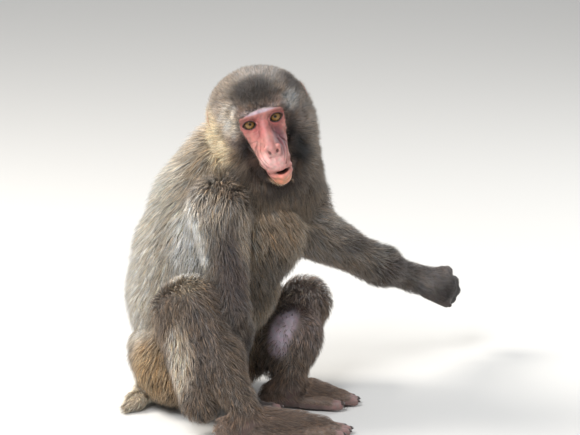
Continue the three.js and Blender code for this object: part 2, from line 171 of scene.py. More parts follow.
class Ripple:
    """Smooth random field in space, a sum of fixed plane waves."""

    spread = (0.6, 1.5)  # shortest and longest wave against the typical one
    swing = 1.2  # scale that brings the sum mostly within -1 to 1

    def __init__(self, seed: int, wavelength: float, channels: int = 1, waves: int = 10) -> None:
        """Draw the waves.

        Args:
            seed: Seed of the waves.
            wavelength: Typical wavelength in millimetres.
            channels: Number of independent fields.
            waves: Waves in each field.
        """
        draw = np.random.default_rng(seed)
        length = wavelength * draw.uniform(*self.spread, (channels, waves, 1))
        self.wave = unit(draw.normal(size=(channels, waves, 3))) * (2.0 * math.pi / length)
        self.phase = draw.uniform(0.0, 2.0 * math.pi, (channels, waves))

    def __call__(self, p: Array) -> Array:
        """Field values at points: one column for each channel, mostly within -1 to 1."""
        columns = [np.sin(p @ w.T + f).sum(axis=1) for w, f in zip(self.wave, self.phase)]
        return np.stack(columns, axis=1) * (self.swing / math.sqrt(self.wave.shape[1]))


# ---- rounded masses
@dataclass(frozen=True)
class Mass:
    """An ellipsoid of flesh under its coat."""

    at: Array  # centre
    radii: Array  # half lengths along its own axes, flesh only
    coat: float  # depth of the coat over it
    lie: Array  # the way the hair over it lies
    turn: Array = field(default_factory=lambda: np.eye(3))  # its axes as the columns of a rotation matrix

    def distance(self, p: Array, share: float) -> Array:
        """Distance from points to its outline, with the given share of the coat."""
        size = vec(self.radii) + self.coat * share
        q = ((p - self.at) @ self.turn) / size
        k = lengths(q)
        slope = np.maximum(lengths(q / size), TINY)
        return np.where(k < 1e-6, -size.min(), k * (k - 1.0) / slope)

    def reach(self) -> tuple[Array, Array]:
        """Lowest and highest corners of the box that holds it with its coat."""
        most = float(max(self.radii)) + self.coat
        return vec(self.at) - most, vec(self.at) + most


@dataclass(frozen=True)
class Limb:
    """A tapered limb of flesh with round ends, under its coat."""

    start: Array  # centre of its first end
    end: Array  # centre of its second end
    near: float  # radius of the flesh at the start
    far: float  # radius of the flesh at the end
    coat: float  # depth of the coat at the start
    far_coat: float  # depth of the coat at the end
    lie: Array  # the way the hair over it lies

    def distance(self, p: Array, share: float) -> Array:
        """Distance from points to its outline, with the given share of the coat."""
        r1, r2 = self.near + share * self.coat, self.far + share * self.far_coat
        axis = self.end - self.start
        length2 = float(axis @ axis)
        drop = r1 - r2
        slant2 = length2 - drop * drop
        from_start = p - self.start
        along = from_start @ axis
        beyond = along - length2
        across2 = ((from_start * length2 - np.outer(along, axis)) ** 2).sum(axis=1)
        along2, beyond2 = along * along * length2, beyond * beyond * length2
        k = math.copysign(drop * drop, drop) * across2
        side = (np.sqrt(across2 * slant2 / length2) + along * drop) / length2 - r1
        first = np.sqrt(across2 + along2) / length2 - r1
        last = np.sqrt(across2 + beyond2) / length2 - r2
        inside = np.where(np.sign(along) * slant2 * along2 < k, first, side)
        return np.where(np.sign(beyond) * slant2 * beyond2 > k, last, inside)

    def reach(self) -> tuple[Array, Array]:
        """Lowest and highest corners of the box that holds it with its coat."""
        r1, r2 = self.near + self.coat, self.far + self.far_coat
        low = np.minimum(self.start - r1, self.end - r2)
        return low, np.maximum(self.start + r1, self.end + r2)


Shape = Mass | Limb


def limb(
    start: Sequence[float],
    end: Sequence[float],
    near: float,
    far: float,
    coat: float,
    far_coat: float | None = None,
    lie: Sequence[float] | None = None,
) -> Limb:
    """A limb whose hair lies from its start to its end, drooping a little, unless told otherwise.

    Args:
        start: Centre of its first end.
        end: Centre of its second end.
        near: Radius at the start.
        far: Radius at the end.
        coat: Depth of the coat at the start.
        far_coat: Depth of the coat at the end, the same where it is left out.
        lie: The way the hair lies.

    Returns:
        The limb.
    """
    a, b = vec(start), vec(end)
    down = unit(b - a) + vec((0.0, 0.0, -0.25))
    way = unit(down if lie is None else vec(lie))
    return Limb(a, b, near, far, coat, coat if far_coat is None else far_coat, way)


@dataclass(frozen=True)
class HeadFrame:
    """The head's own axes: its origin midway between the eyes, -Y forward, +X its left."""

    at: Vec = (-49.0, -131.0, 383.0)
    turn: float = -53.0
    nod: float = 2.0
    tilt: float = -16.5

    @property
    def axes(self) -> Array:
        """Rotation matrix whose columns are the head's axes."""
        x, y = math.radians(self.nod), math.radians(self.tilt)
        about_x = vec(((1, 0, 0), (0, math.cos(x), -math.sin(x)), (0, math.sin(x), math.cos(x))))
        about_y = vec(((math.cos(y), 0, math.sin(y)), (0, 1, 0), (-math.sin(y), 0, math.cos(y))))
        return turn_about_z(self.turn) @ about_x @ about_y

    def out(self, local: Sequence[float] | Array) -> Array:
        """Points of the head's frame as points of the scene."""
        return vec(local) @ self.axes.T + vec(self.at)

    def way(self, local: Sequence[float] | Array) -> Array:
        """A direction of the head's frame as one of the scene."""
        return unit(vec(local) @ self.axes.T)

    def into(self, world: Array) -> Array:
        """Points of the scene as points of the head's frame."""
        return (world - vec(self.at)) @ self.axes


# ---- the animal's build
@dataclass(frozen=True)
class CoatDepth:
    """Depth of the lying coat over each part of the body, in millimetres."""

    back: float = 27
    flank: float = 24
    belly: float = 17
    chest: float = 20
    nape: float = 24
    crown: float = 12
    forehead: float = 6
    temple: float = 12
    cheek: float = 19
    brow: float = 1
    face: float = 0.6
    chin: float = 3
    ear: float = 2
    shoulder: float = 20
    upper_arm: float = 15
    elbow: float = 12
    forearm: float = 13
    hand: float = 3
    finger: float = 1
    thigh: float = 17
    knee: float = 13
    calf: float = 14
    instep: float = 8
    foot: float = 4
    toe: float = 1
    tail: float = 15


@dataclass(frozen=True)
class Pose:
    """Joints of the sitting pose, with left and right in that order where there are two.

    The last three say how far the calf stands off the line from knee to ankle, the calf's radius and the
    height of the instep, which depend on how each leg is bent.
    """

    pelvis: Vec = (0, 4, 68)
    chest: Vec = (4, -34, 232)
    neck_low: Vec = (8, -74, 278)
    tail_root: Vec = (-26, 42, 22)
    tail_bend: Vec = (-74, 38, 11)
    tail_tip: Vec = (-103, 42, 5.5)
    hip: tuple[Vec, Vec] = ((42, -12, 58), (-42, -6, 58))
    knee: tuple[Vec, Vec] = ((125, -91, 110), (-113, -69, 163))
    ankle: tuple[Vec, Vec] = ((31, -123, 36), (-120, -148, 38))
    toes: tuple[Vec, Vec] = ((85, -186, 7), (-28, -238, 7))
    shoulder: tuple[Vec, Vec] = ((76, -119, 221), (-58, -76, 268))
    shoulder_top: tuple[Vec, Vec] = ((72, -112, 254), (-58, -76, 270))
    elbow: tuple[Vec, Vec] = ((190, -141, 158), (-80, -104, 152))
    wrist: tuple[Vec, Vec] = ((288, -157, 112), (-53, -92, 56))
    knuckles: tuple[Vec, Vec] = ((326, -189, 97), (-51, -113, 21))
    calf_stand: tuple[Vec, Vec] = ((-8, 6, 4), (9, 7, -6))
    calf_radius: Pair = (28, 23)
    instep: Pair = (14, 20)

    def joint(self, name: str, side: Side) -> Array:
        """The named joint of one side."""
        return vec(getattr(self, name)[0 if side is Side.LEFT else 1])

    def joints(self, side: Side, *names: str) -> list[Array]:
        """Several joints of one side."""
        return [self.joint(name, side) for name in names]


@dataclass(frozen=True)
class HandPose:
    """How a hand is held: the line from thumb to little finger and the bend of each phalanx."""

    across: Vec
    bends: tuple[Vec, Vec, Vec]


HAND_POSES: dict[Side, HandPose] = {
    Side.LEFT: HandPose((0.21, 0.1, 0.97), ((0.97, 0.1, -0.22), (0.37, 0.91, -0.19), (-0.37, 0.94, -0.04))),
    Side.RIGHT: HandPose((-0.82, -0.5, 0), ((0.45, -0.72, -0.5), (0.5, -0.82, -0.1), (0.5, -0.85, 0))),
}


@dataclass(frozen=True)
class HandSizes:
    """Sizes of both hands, from the index finger to the little finger where there are four.

    Attributes:
        palm_spread: Half the palm's breadth at the wrist and at the knuckles.
        palm_radii: Radius of the palm's three bones at the wrist and at the knuckles.
        palm_bones: The side of each bone and how far it ends behind the knuckles.
        step: Distance from finger to finger.
        back: How far each finger starts behind the knuckles' line.
        phalanges: Lengths of the longest finger's three phalanges.
        share: Length of each finger against the longest.
        radii: Radius of a finger at both ends of its first phalanx.
        taper: What each phalanx loses in radius on the one before it.
        nail: Radius of a finger's nail bed.
        thumb_root: Where the thumb starts, as a share of the palm's length and a distance across.
        thumb_tip: Where it ends, in the same way.
        thumb_radii: Its radius at both ends.
    """

    palm_spread: Pair = (7, 12)
    palm_radii: Pair = (8, 8.5)
    palm_bones: tuple[tuple[int, float], ...] = ((-1, 5), (0, 0), (1, 8))
    step: float = 11
    back: tuple[float, ...] = (5, 0, 2, 10)
    phalanges: Vec = (22, 15, 10)
    share: tuple[float, ...] = (0.88, 1, 0.96, 0.8)
    radii: Pair = (6.6, 6.1)
    taper: float = 0.5
    nail: float = 5.1
    thumb_root: Pair = (0.35, 15)
    thumb_tip: Pair = (0.95, 23)
    thumb_radii: Pair = (6.5, 5.2)


# Flesh that hangs behind each calf: both ends, their radii, their coats and the lie of the hair.
BEHIND_CALF: dict[Side, tuple[tuple, ...]] = {
    Side.LEFT: (((65, -86, 78), (49, -96, 53), 23, 15, 14, 12, (-0.2, -0.2, -1)),),
    Side.RIGHT: (
        ((-115, -47, 151), (-113, -79, 76), 21, 13, 14, 13, (0.05, -0.3, -1)),
        ((-115, -57, 130), (-124, -88, 44), 20, 17, 14, 13, (0.0, -0.35, -1)),
    ),
}


@dataclass
class NailBed:
    """Where a nail sits: the tip of a finger or toe, the way it points, its back and its radius."""

    tip: Array
    along: Array
    back: Array
    radius: float


@dataclass
class BodyPart:
    """One named part of the body."""

    name: str  # name of the solid that has the same share of the body
    shapes: list[Shape]  # its rounded masses
    melt: float = 15.0  # how far they melt into one another
    hind: bool = False  # whether it belongs to the hind limbs, which don't melt into the arms

    def distance(self, p: Array, share: float) -> Array:
        """Distance from points to the part, with the given share of the coat."""
        d = np.full(len(p), FAR)
        for shape in self.shapes:
            d = melt(d, shape.distance(p, share), self.melt)
        return d

    def reach(self, margin: float) -> tuple[Array, Array]:
        """Lowest and highest corners of the part's box, widened by a margin."""
        boxes = [shape.reach() for shape in self.shapes]
        low = np.min([b[0] for b in boxes], axis=0)
        return low - margin, np.max([b[1] for b in boxes], axis=0) + margin


EAR_AT: Vec = (57, 42, 4)  # the left ear's middle in the head's frame
EAR_TURN = 28.0  # how far the ears turn out, in degrees


class Anatomy:
    """Builds every part of the body from the pose and the coat's depths."""

    def __init__(self) -> None:
        """Set the pose, the coat and the head's frame."""
        self.pose = Pose()
        self.coat = CoatDepth()
        self.head_frame = HeadFrame()
        self.nails: list[NailBed] = []

    def head_mass(self, at: Vec, radii: Vec, coat: float, lie: Vec) -> Mass:
        """A mass placed, turned and combed in the head's frame."""
        frame = self.head_frame
        return Mass(frame.out(at), vec(radii), coat, frame.way(lie), frame.axes)

    def head_limb(self, a: Vec, b: Vec, near: float, far: float, coat: float, lie: Vec) -> Limb:
        """A limb placed and combed in the head's frame."""
        frame = self.head_frame
        return limb(frame.out(a), frame.out(b), near, far, coat, lie=frame.way(lie))

    def trunk(self) -> list[Shape]:
        """Pelvis, back, belly, chest and the hump of the shoulders."""
        c, pose = self.coat, self.pose
        down, behind = vec((0, 0.1, -1)), vec((0, 0.42, -1))
        return [  # pelvis, loins, back, belly, ribs, breast and hump
            Mass(vec(pose.pelvis), vec((60, 54, 56)), c.flank, vec((0, 0.3, -1))),
            Mass(vec((0, -10, 146)), vec((70, 66, 78)), c.back, down),
            Mass(vec((-2, -22, 200)), vec((64, 66, 62)), c.back, down),
            Mass(vec((10, -48, 164)), vec((52, 52, 60)), c.belly, vec((0.12, -0.1, -1))),
            Mass(vec(pose.chest), vec((62, 63, 66)), c.back, vec((0, 0.2, -1))),
            Mass(vec((18, -84, 232)), vec((56, 44, 60)), c.chest, vec((0.15, -0.2, -1))),
            limb((-2, -34, 262), (-4, -62, 312), 52, 40, c.nape, lie=behind),
        ]

    def neck(self) -> list[Shape]:
        """The nape and throat, and the ruff that falls to the left shoulder."""
        c, pose, frame = self.coat, self.pose, self.head_frame
        return [
            limb(pose.neck_low, frame.out((0, 52, -30)), 42, 37, c.nape, lie=(0.1, 0.15, -1)),
            limb((46, -102, 282), frame.out((18, 46, -62)), 35, 25, c.nape, c.cheek, (0.25, 0.05, -1)),
        ]

    def tail(self) -> list[Shape]:
        """The short tail on the floor."""
        c, pose = self.coat.tail, self.pose
        return [
            limb(pose.tail_root, pose.tail_bend, 9, 5, c - 3, c - 9),
            limb(pose.tail_bend, pose.tail_tip, 5, 1, c - 9, c - 11),
        ]

    def head(self) -> list[Shape]:
        """Braincase, forehead, temples, cheeks and the back of the jaw."""
        c = self.coat
        shapes: list[Shape] = [
            self.head_mass((-1, 50, 9), (40, 50, 34), c.crown, (0, 1, -0.12)),
            self.head_mass((0, 22, 14), (31, 27, 23), c.forehead, (0, 1, 0.35)),
        ]
        for s in (-1, 1):
            shapes.append(self.head_mass((s * 29, 21, -6), (12, 21, 27), c.forehead, (s * 0.6, 0.9, -0.2)))
            shapes.append(self.head_mass((s * 28, 46, -22), (22, 27, 32), c.cheek, (s * 0.55, 0.9, -0.5)))
            shapes.append(self.head_mass((s * 25, 42, 10), (20, 25, 24), c.temple, (s * 0.35, 1, 0.05)))
        shapes.append(self.head_mass((0, 46, -46), (36, 28, 30), c.cheek, (0, 0.8, -0.8)))
        return shapes

    def muzzle(self) -> list[Shape]:
        """The bare face: brow, orbits, cheekbones, nose, upper jaw and chin."""
        c = self.coat
        shapes: list[Shape] = [
            self.head_limb((-23, -4, 12), (23, -4, 12), 6.5, 6.5, c.brow, (0, 0.4, 1)),
            self.head_limb((-19, 8, 0), (19, 8, 0), 13, 13, c.face, (0, 0.8, 0.3)),
        ]
        for s in (-1, 1):
            shapes.append(self.head_mass((s * 24, 6, -9), (10, 13, 14), c.face, (s, 0.7, -0.5)))
            cheekbone = (s * 12, -1, -18), (s * 9, -20, -45)
            shapes.append(self.head_limb(*cheekbone, 12, 10, c.face, (s, 0.7, -0.6)))
        shapes += [
            self.head_limb((0, -4, 2), (0, -33, -31), 8, 7, c.face, (0, 0.7, 0.4)),
            self.head_limb((0, 0, -18), (1, -21, -46), 20, 15.5, c.face, (0, 0.6, -0.7)),
            self.head_limb((0, 22, -58), (3, -17, -68), 18, 12, c.chin, (0, 0.75, -0.75)),
        ]
        return shapes

    def ear(self, side: Side) -> list[Shape]:
        """A flat round ear and the root that joins it to the head."""
        s, frame = side.value, self.head_frame
        axes = frame.axes @ turn_about_z(s * EAR_TURN)
        lie = frame.way((s * 0.2, 1, 0.2))
        return [
            Mass(frame.out(mirrored(EAR_AT, s)), vec((3, 11, 17)), self.coat.ear, lie, axes),
            limb(frame.out((s * 40, 42, 0)), frame.out((s * 55, 43, 1)), 9, 6, -2, lie=lie),
        ]

    def upper_arm(self, side: Side) -> list[Shape]:
        """Shoulder and upper arm."""
        c, pose = self.coat, self.pose
        shoulder, elbow = pose.joints(side, "shoulder", "elbow")
        outward = unit(unit(elbow - shoulder) + vec((side.value * 0.75, -0.1, 0.1)))
        return [
            Mass(pose.joint("shoulder_top", side), vec((24, 24, 26)), c.shoulder, outward),
            limb(shoulder, elbow, 25, 14, c.upper_arm, c.elbow),
        ]

    def forearm(self, side: Side) -> list[Shape]:
        """Forearm from elbow to wrist."""
        c, pose = self.coat, self.pose
        elbow, wrist = pose.joints(side, "elbow", "wrist")
        return [
            limb(elbow, mix(elbow, wrist, 0.35), 15, 15, c.forearm),
            limb(mix(elbow, wrist, 0.3), wrist, 15, 10, c.forearm - 3),
        ]

    def hand(self, side: Side) -> list[Shape]:
        """Palm, four fingers bent at each phalanx and a thumb; notes where the nails go."""
        c, pose, held, size = self.coat, self.pose, HAND_POSES[side], HandSizes()
        wrist, knuckles = pose.joints(side, "wrist", "knuckles")
        row, forward = vec(held.across), unit(knuckles - wrist)
        near, far = (row * spread for spread in size.palm_spread)
        shapes: list[Shape] = [
            limb(wrist + near * t, knuckles + far * t - forward * back, *size.palm_radii, c.hand)
            for t, back in size.palm_bones
        ]
        for finger, (back, share) in enumerate(zip(size.back, size.share)):
            joint = knuckles + row * ((finger - 1.5) * size.step) - forward * back
            for phalanx, (bend, length) in enumerate(zip(held.bends, size.phalanges)):
                along = unit(vec(bend))
                end = joint + along * (length * share)
                first, last = (radius - phalanx * size.taper for radius in size.radii)
                shapes.append(limb(joint, end, first, last, c.finger))
                joint = end
            self.nails.append(NailBed(joint, along, unit(np.cross(along, row)) * side.value, size.nail))
        spots = size.thumb_root, size.thumb_tip
        root, tip = (mix(wrist, knuckles, t) - row * across for t, across in spots)
        shapes.append(limb(root, tip, *size.thumb_radii, c.finger))
        along = unit(tip - root)
        self.nails.append(NailBed(tip, along, unit(np.cross(along, row)) * side.value, size.thumb_radii[1]))
        return shapes

    def thigh(self, side: Side) -> list[Shape]:
        """Haunch and thigh."""
        c, pose = self.coat, self.pose
        hip, knee = pose.joints(side, "hip", "knee")
        return [
            Mass(mix(hip, knee, 0.12), vec((38, 46, 44)), c.thigh, unit(vec((side.value * 0.1, 0.3, -0.95)))),
            limb(hip, knee, 37, 18, c.thigh, c.knee, unit(knee - hip) * 0.3 + vec((0, 0.1, -0.95))),
        ]

    def lower_leg(self, side: Side) -> list[Shape]:
        """Knee, calf and shin."""
        c, pose = self.coat, self.pose
        knee, ankle = pose.joints(side, "knee", "ankle")
        calf = mix(knee, ankle, 0.48) + pose.joint("calf_stand", side)
        radius = float(pose.joint("calf_radius", side))
        over = unit(unit(knee - pose.joint("hip", side)) * 0.8 + unit(ankle - knee) * 0.6)
        return [
            Mass(knee, vec((21, 21, 21)), c.knee, over),
            limb(knee, calf, 20, radius, c.knee, c.calf),
            limb(calf, ankle, radius - 1, 11, c.calf - 2),
            *[limb(*flesh) for flesh in BEHIND_CALF[side]],
        ]

    def foot(self, side: Side) -> list[Shape]:
        """Heel, long sole and five toes, the great toe standing off on the inner side."""
        c, pose = self.coat, self.pose
        ankle, tips = pose.joints(side, "ankle", "toes")
        forward = unit((tips - ankle) * vec((1, 1, 0)))
        outward = np.cross(UP, forward) * side.value
        reach = float(np.hypot(*(tips - ankle)[:2]))

        def at(along: float, out: float, up: float) -> Array:
            """A point of the foot, from its lengths along, outward and up."""
            flat = ankle * vec((1, 1, 0)) + forward * along + outward * out
            return flat + UP * up

        instep = float(pose.joint("instep", side))
        shapes: list[Shape] = [
            limb(at(0, 0, 32), at(-18, 0, 19), 14, 13, c.instep),
            limb(at(-24, 0, 15), at(reach * 0.45, 0, 13), 13, 11, c.foot),
            limb(at(2, 0, 28), at(reach * 0.52, 4, instep), 14, 11, c.instep, c.foot + 1),
        ]
        root, crown = at(reach * 0.5, 2, instep), at(reach * 0.76, 2, instep - 5)
        shapes.append(limb(root, crown, 11, 8, c.foot + 1, c.foot))
        for out in (-7, 3, 13):
            shapes.append(limb(at(reach * 0.1, out / 2, 13), at(reach * 0.62, out, 10), 10, 8, c.foot - 1))
        for toe in range(4):
            out, length = (toe - 1) * 10 + 2, reach * (0.97, 1, 0.96, 0.88)[toe]
            root, bend = at(reach * 0.58, out * 0.9, 10), at(length * 0.82, out * 1.1, 10)
            tip = at(length, out * 1.15, 6)
            shapes += [limb(root, bend, 7, 6, c.toe), limb(bend, tip, 6, 5, c.toe)]
            self.nails.append(NailBed(tip, unit(tip - bend), UP, 5.0))
        great_root, great_tip = at(reach * 0.2, -12, 11), at(reach * 0.68, -27, 8)
        shapes.append(limb(great_root, great_tip, 9, 6.5, c.toe))
        self.nails.append(NailBed(great_tip, unit(great_tip - great_root), UP, 6.2))
        return shapes

    def parts(self) -> list[BodyPart]:
        """Every part of the body."""
        found = [
            BodyPart("muzzle", self.muzzle(), 5.0),
            BodyPart("head", self.head()),
            BodyPart("neck", self.neck()),
            BodyPart("trunk", self.trunk()),
            BodyPart("tail", self.tail(), hind=True),
        ]
        for side in Side:
            w = side.word
            found += [
                BodyPart(f"ear_{w}", self.ear(side), 6.0),
                BodyPart(f"upper_arm_{w}", self.upper_arm(side)),
                BodyPart(f"forearm_{w}", self.forearm(side)),
                BodyPart(f"hand_{w}", self.hand(side), 5.0),
                BodyPart(f"thigh_{w}", self.thigh(side), hind=True),
                BodyPart(f"lower_leg_{w}", self.lower_leg(side), hind=True),
                BodyPart(f"foot_{w}", self.foot(side), 5.0, hind=True),
            ]
        return found


# ---- face
@dataclass(frozen=True)
class Groove:
    """A fine furrow of the skin, drawn on the face from the front."""

    points: tuple[Pair, ...]  # its run as (x, z) in the head's frame
    depth: float  # depth in millimetres
    width: float  # half width in millimetres
    both: bool = True  # whether the other side has it too


@dataclass(frozen=True)
class Crease:
    """A crease that runs round an eye."""

    out: float  # distance from the opening between the lids
    width: float  # half width
    depth: float  # depth
    side: int  # 1 above the eye and -1 below it
    fade: Pair  # heights on that side between which it sets in


@dataclass(frozen=True)
class Rod:
    """A small round form of the face, in the head's frame: both its ends and the radius at each."""

    start: Vec
    end: Vec
    radii: Pair

    def placed(self, sign: int = 1, middle: float = 0.0) -> Limb:
        """The rod as a limb without hair, on the left or mirrored, about a middle line."""
        start, end = (mirrored(point, sign) + vec((middle, 0, 0)) for point in (self.start, self.end))
        return limb(start, end, *self.radii, 0)


@dataclass(frozen=True)
class Face:
    """Lids, nose, lips and furrows of the bare face, in the head's frame and in millimetres.

    Attributes:
        eye_spacing: Distance between the eyes' centres.
        eye_depth: How far the centres lie behind the frame's origin.
        eye_radius: Radius of the eyeballs.
        lid: Thickness of the lids.
        slit: Half width of the opening between the lids, its height above and its height below the axis.
        slit_tilt: How far the outer corners stand over the inner ones, in degrees.
        creases: Creases round each eye.
        ridge: The edge of the brow over each eye.
        nose_middle: How far the nose stands to the left of the middle.
        wing: Wing of the nose.
        rim: Slanting outer part of a nostril.
        pit: Deep inner part of a nostril.
        upper_lip: Points of the upper lip's roll.
        lower_lip: Points of the lower lip's roll.
        lip_radii: Radius of the upper and of the lower roll.
        mouth_line: Points of the line between the lips.
        mouth: The small opening: its centre and half lengths.
        ear_hollow: Hollow of the ear: its centre from the ear's, in the ear's frame, and its half lengths.
        furrows: Fine furrows.
    """

    eye_spacing: float = 34.0
    eye_depth: float = 0.9
    eye_radius: float = 9.6
    lid: float = 1.5
    slit: Vec = (7.5, 5.1, 4.5)
    slit_tilt: float = 6.0
    creases: tuple[Crease, ...] = (
        Crease(3.1, 0.7, 0.8, 1, (0.0, 2.0)),
        Crease(2.6, 0.6, 0.45, -1, (0.0, 2.0)),
        Crease(4.9, 0.8, 0.55, -1, (0.5, 3.0)),
        Crease(7.4, 0.9, 0.35, -1, (2.0, 5.0)),
    )
    ridge: Rod = Rod((26, -4.0, 11.5), (7, -7.6, 10.2), (4.6, 4.8))
    nose_middle: float = 0.8
    wing: Rod = Rod((7.4, -33.2, -27.5), (6.0, -35.2, -35.0), (3.0, 2.6))
    rim: Rod = Rod((6.6, -37.8, -29.4), (3.2, -38.6, -35.2), (1.05, 0.9))
    pit: Rod = Rod((4.8, -39.0, -32.0), (4.2, -30.0, -30.5), (1.5, 1.2))
    upper_lip: tuple[Vec, ...] = ((-9.5, -24.5, -57.0), (3.0, -33.2, -54.5), (15.0, -23.5, -56.5))
    lower_lip: tuple[Vec, ...] = ((-7.5, -23.0, -63.6), (4.0, -30.6, -66.4), (13.5, -22.0, -63.2))
    lip_radii: Pair = (3.4, 3.8)
    mouth_line: tuple[Vec, ...] = (
        (-13, -17, -61), (-6, -28, -59.6), (3, -36, -58.8), (12, -28, -59.0), (18, -17, -60.6),
    )
    mouth: tuple[Vec, Vec] = ((4.6, -30.0, -60.4), (7.4, 9.0, 2.7))
    ear_hollow: tuple[Vec, Vec] = ((4.2, -1.0, 1.0), (3.4, 7.6, 12.6))
    furrows: tuple[Groove, ...] = (
        Groove(((-13.5, -20), (-17, -28), (-17.5, -37), (-14.5, -46), (-11, -52)), 1.1, 0.85),
        Groove(((-17.5, -26), (-20.3, -34), (-19, -43), (-15.5, -50)), 0.9, 0.8),
        Groove(((-10.5, -22), (-13.5, -31), (-13, -40), (-10, -47)), 0.85, 0.8),
        Groove(((-21, -30), (-22, -38), (-20, -47)), 0.6, 0.7),
        Groove(((-7.5, -8), (-9.5, -14), (-14, -19), (-20, -21)), 0.5, 0.9),
        Groove(((-6.2, 2), (-7.2, -6), (-9, -12)), 0.5, 0.9),
        Groove(((-9, 9.6), (-17, 10.6), (-25, 8.6)), 0.35, 0.8),
        Groove(((-3, 9.5), (0, 8.6), (3, 9.5)), 0.3, 0.7, False),
        Groove(((-4, 4.5), (0, 3.6), (4, 4.5)), 0.3, 0.7, False),
        Groove(((1, -41), (1.6, -47), (2.2, -54)), 0.35, 0.8, False),
    )

    def eye_at(self, s: int) -> Array:
        """Centre of the eyeball of one side."""
        return vec((s * self.eye_spacing / 2, self.eye_depth, 0.0))

    def slit_distance(self, q: Array, s: int) -> tuple[Array, Array]:
        """Distance to the opening between the lids, seen from the front.

        Args:
            q: Points about the eye's centre.
            s: Sign of the side.

        Returns:
            The distance to the almond-shaped opening, and the height above its tilted axis.
        """
        angle = math.radians(self.slit_tilt) * s
        x = q[:, 0] * math.cos(angle) + q[:, 2] * math.sin(angle)
        z = q[:, 2] * math.cos(angle) - q[:, 0] * math.sin(angle)
        half, above, below = self.slit
        rings = []
        for height, sign in ((above, 1.0), (below, -1.0)):
            radius = (half * half + height * height) / (2.0 * height)
            rings.append(np.hypot(x, z * sign - (height - radius)) - radius)
        return np.maximum(*rings), z

    def lids(self, p: Array, d: Array) -> Array:
        """Lids over each eyeball, with the opening between them and the creases round it."""
        for s in (-1, 1):
            q = p - self.eye_at(s)
            dist = lengths(q)
            slit, z = self.slit_distance(q, s)
            hood = bell(slit - 1.2, 1.3) * ramp(z, -1.0, 2.5) * 0.7
            front = q[:, 1] < 2.0
            d = np.where(front, melt(d, dist - (self.eye_radius + self.lid) - hood, 3.2), d)
            creased = np.zeros(len(p))
            for crease in self.creases:
                fade = ramp(z * crease.side, *crease.fade)
                creased += bell(slit - crease.out, crease.width) * fade * crease.depth
            d = d + np.where(front, creased, 0.0)
            opening = np.maximum(np.maximum(slit, (self.eye_radius - 2.2) - dist), q[:, 1] + 1.0)
            d = carve(d, opening, 0.8)
        return d

    def nose(self, p: Array, d: Array) -> Array:
        """Nose wings and the two slanting nostrils."""
        for s in (-1, 1):
            d = melt(d, self.wing.placed(s, self.nose_middle).distance(p, 0), 2.4)
        for s in (-1, 1):
            for hole in (self.rim, self.pit):
                d = carve(d, hole.placed(s, self.nose_middle).distance(p, 0), 1.3)
        return d

    def lips(self, p: Array, d: Array) -> Array:
        """Soft rolled lips, the small opening between them and the line out to the corners."""
        for run, radius in zip((self.upper_lip, self.lower_lip), self.lip_radii):
            for a, b in zip(run, run[1:]):
                d = melt(d, limb(a, b, radius, radius, 0).distance(p, 0), 3.5)
        for a, b in zip(self.mouth_line, self.mouth_line[1:]):
            d = carve(d, limb(a, b, 0.7, 0.7, 0).distance(p, 0), 1.4)
        at, radii = self.mouth
        return carve(d, Mass(vec(at), vec(radii), 0, UP).distance(p, 0), 1.2)

    def folds(self, p: Array) -> Array:
        """Depth of the fine furrows beside the nose, under the eyes and on the brow."""
        front = ramp(-p[:, 1], -6.0, 2.0)
        depth = np.zeros(len(p))
        for groove in self.furrows:
            for s in (1.0, -1.0) if groove.both else (1.0,):
                nearest = np.full(len(p), FAR)
                for (xa, za), (xb, zb) in zip(groove.points, groove.points[1:]):
                    a, ab = vec((xa * s, za)), vec(((xb - xa) * s, zb - za))
                    q = p[:, (0, 2)] - a
                    t = np.clip((q @ ab) / (ab @ ab), 0.0, 1.0)
                    nearest = np.minimum(nearest, lengths(q - t[:, None] * ab))
                depth += groove.depth * bell(nearest, groove.width)
        return depth * front

    def ears(self, p: Array, d: Array) -> Array:
        """The hollow of each ear."""
        out, radii = self.ear_hollow
        for s in (-1, 1):
            axes = turn_about_z(s * EAR_TURN)
            hollow = Mass(mirrored(EAR_AT, s) + axes @ mirrored(out, s), vec(radii), 0, UP, axes)
            d = carve(d, hollow.distance(p, 0), 1.6)
        return d

    def shape(self, p: Array, d: Array) -> Array:
        """Work every feature into the flesh.

        Args:
            p: Points in the head's frame.
            d: Distance of each to the plain flesh.

        Returns:
            Distance to the finished face.
        """
        d = self.ears(p, d)
        near = (np.abs(p[:, 0]) < 36) & (p[:, 1] < 14) & (p[:, 2] < 26) & (np.abs(d) < 14)
        if near.any():
            q, e = p[near], d[near]
            for s in (-1, 1):
                e = melt(e, self.ridge.placed(s).distance(q, 0), 4.0)
            d = d.copy()
            d[near] = self.lips(q, self.nose(q, self.lids(q, e))) + self.folds(q)
        return d


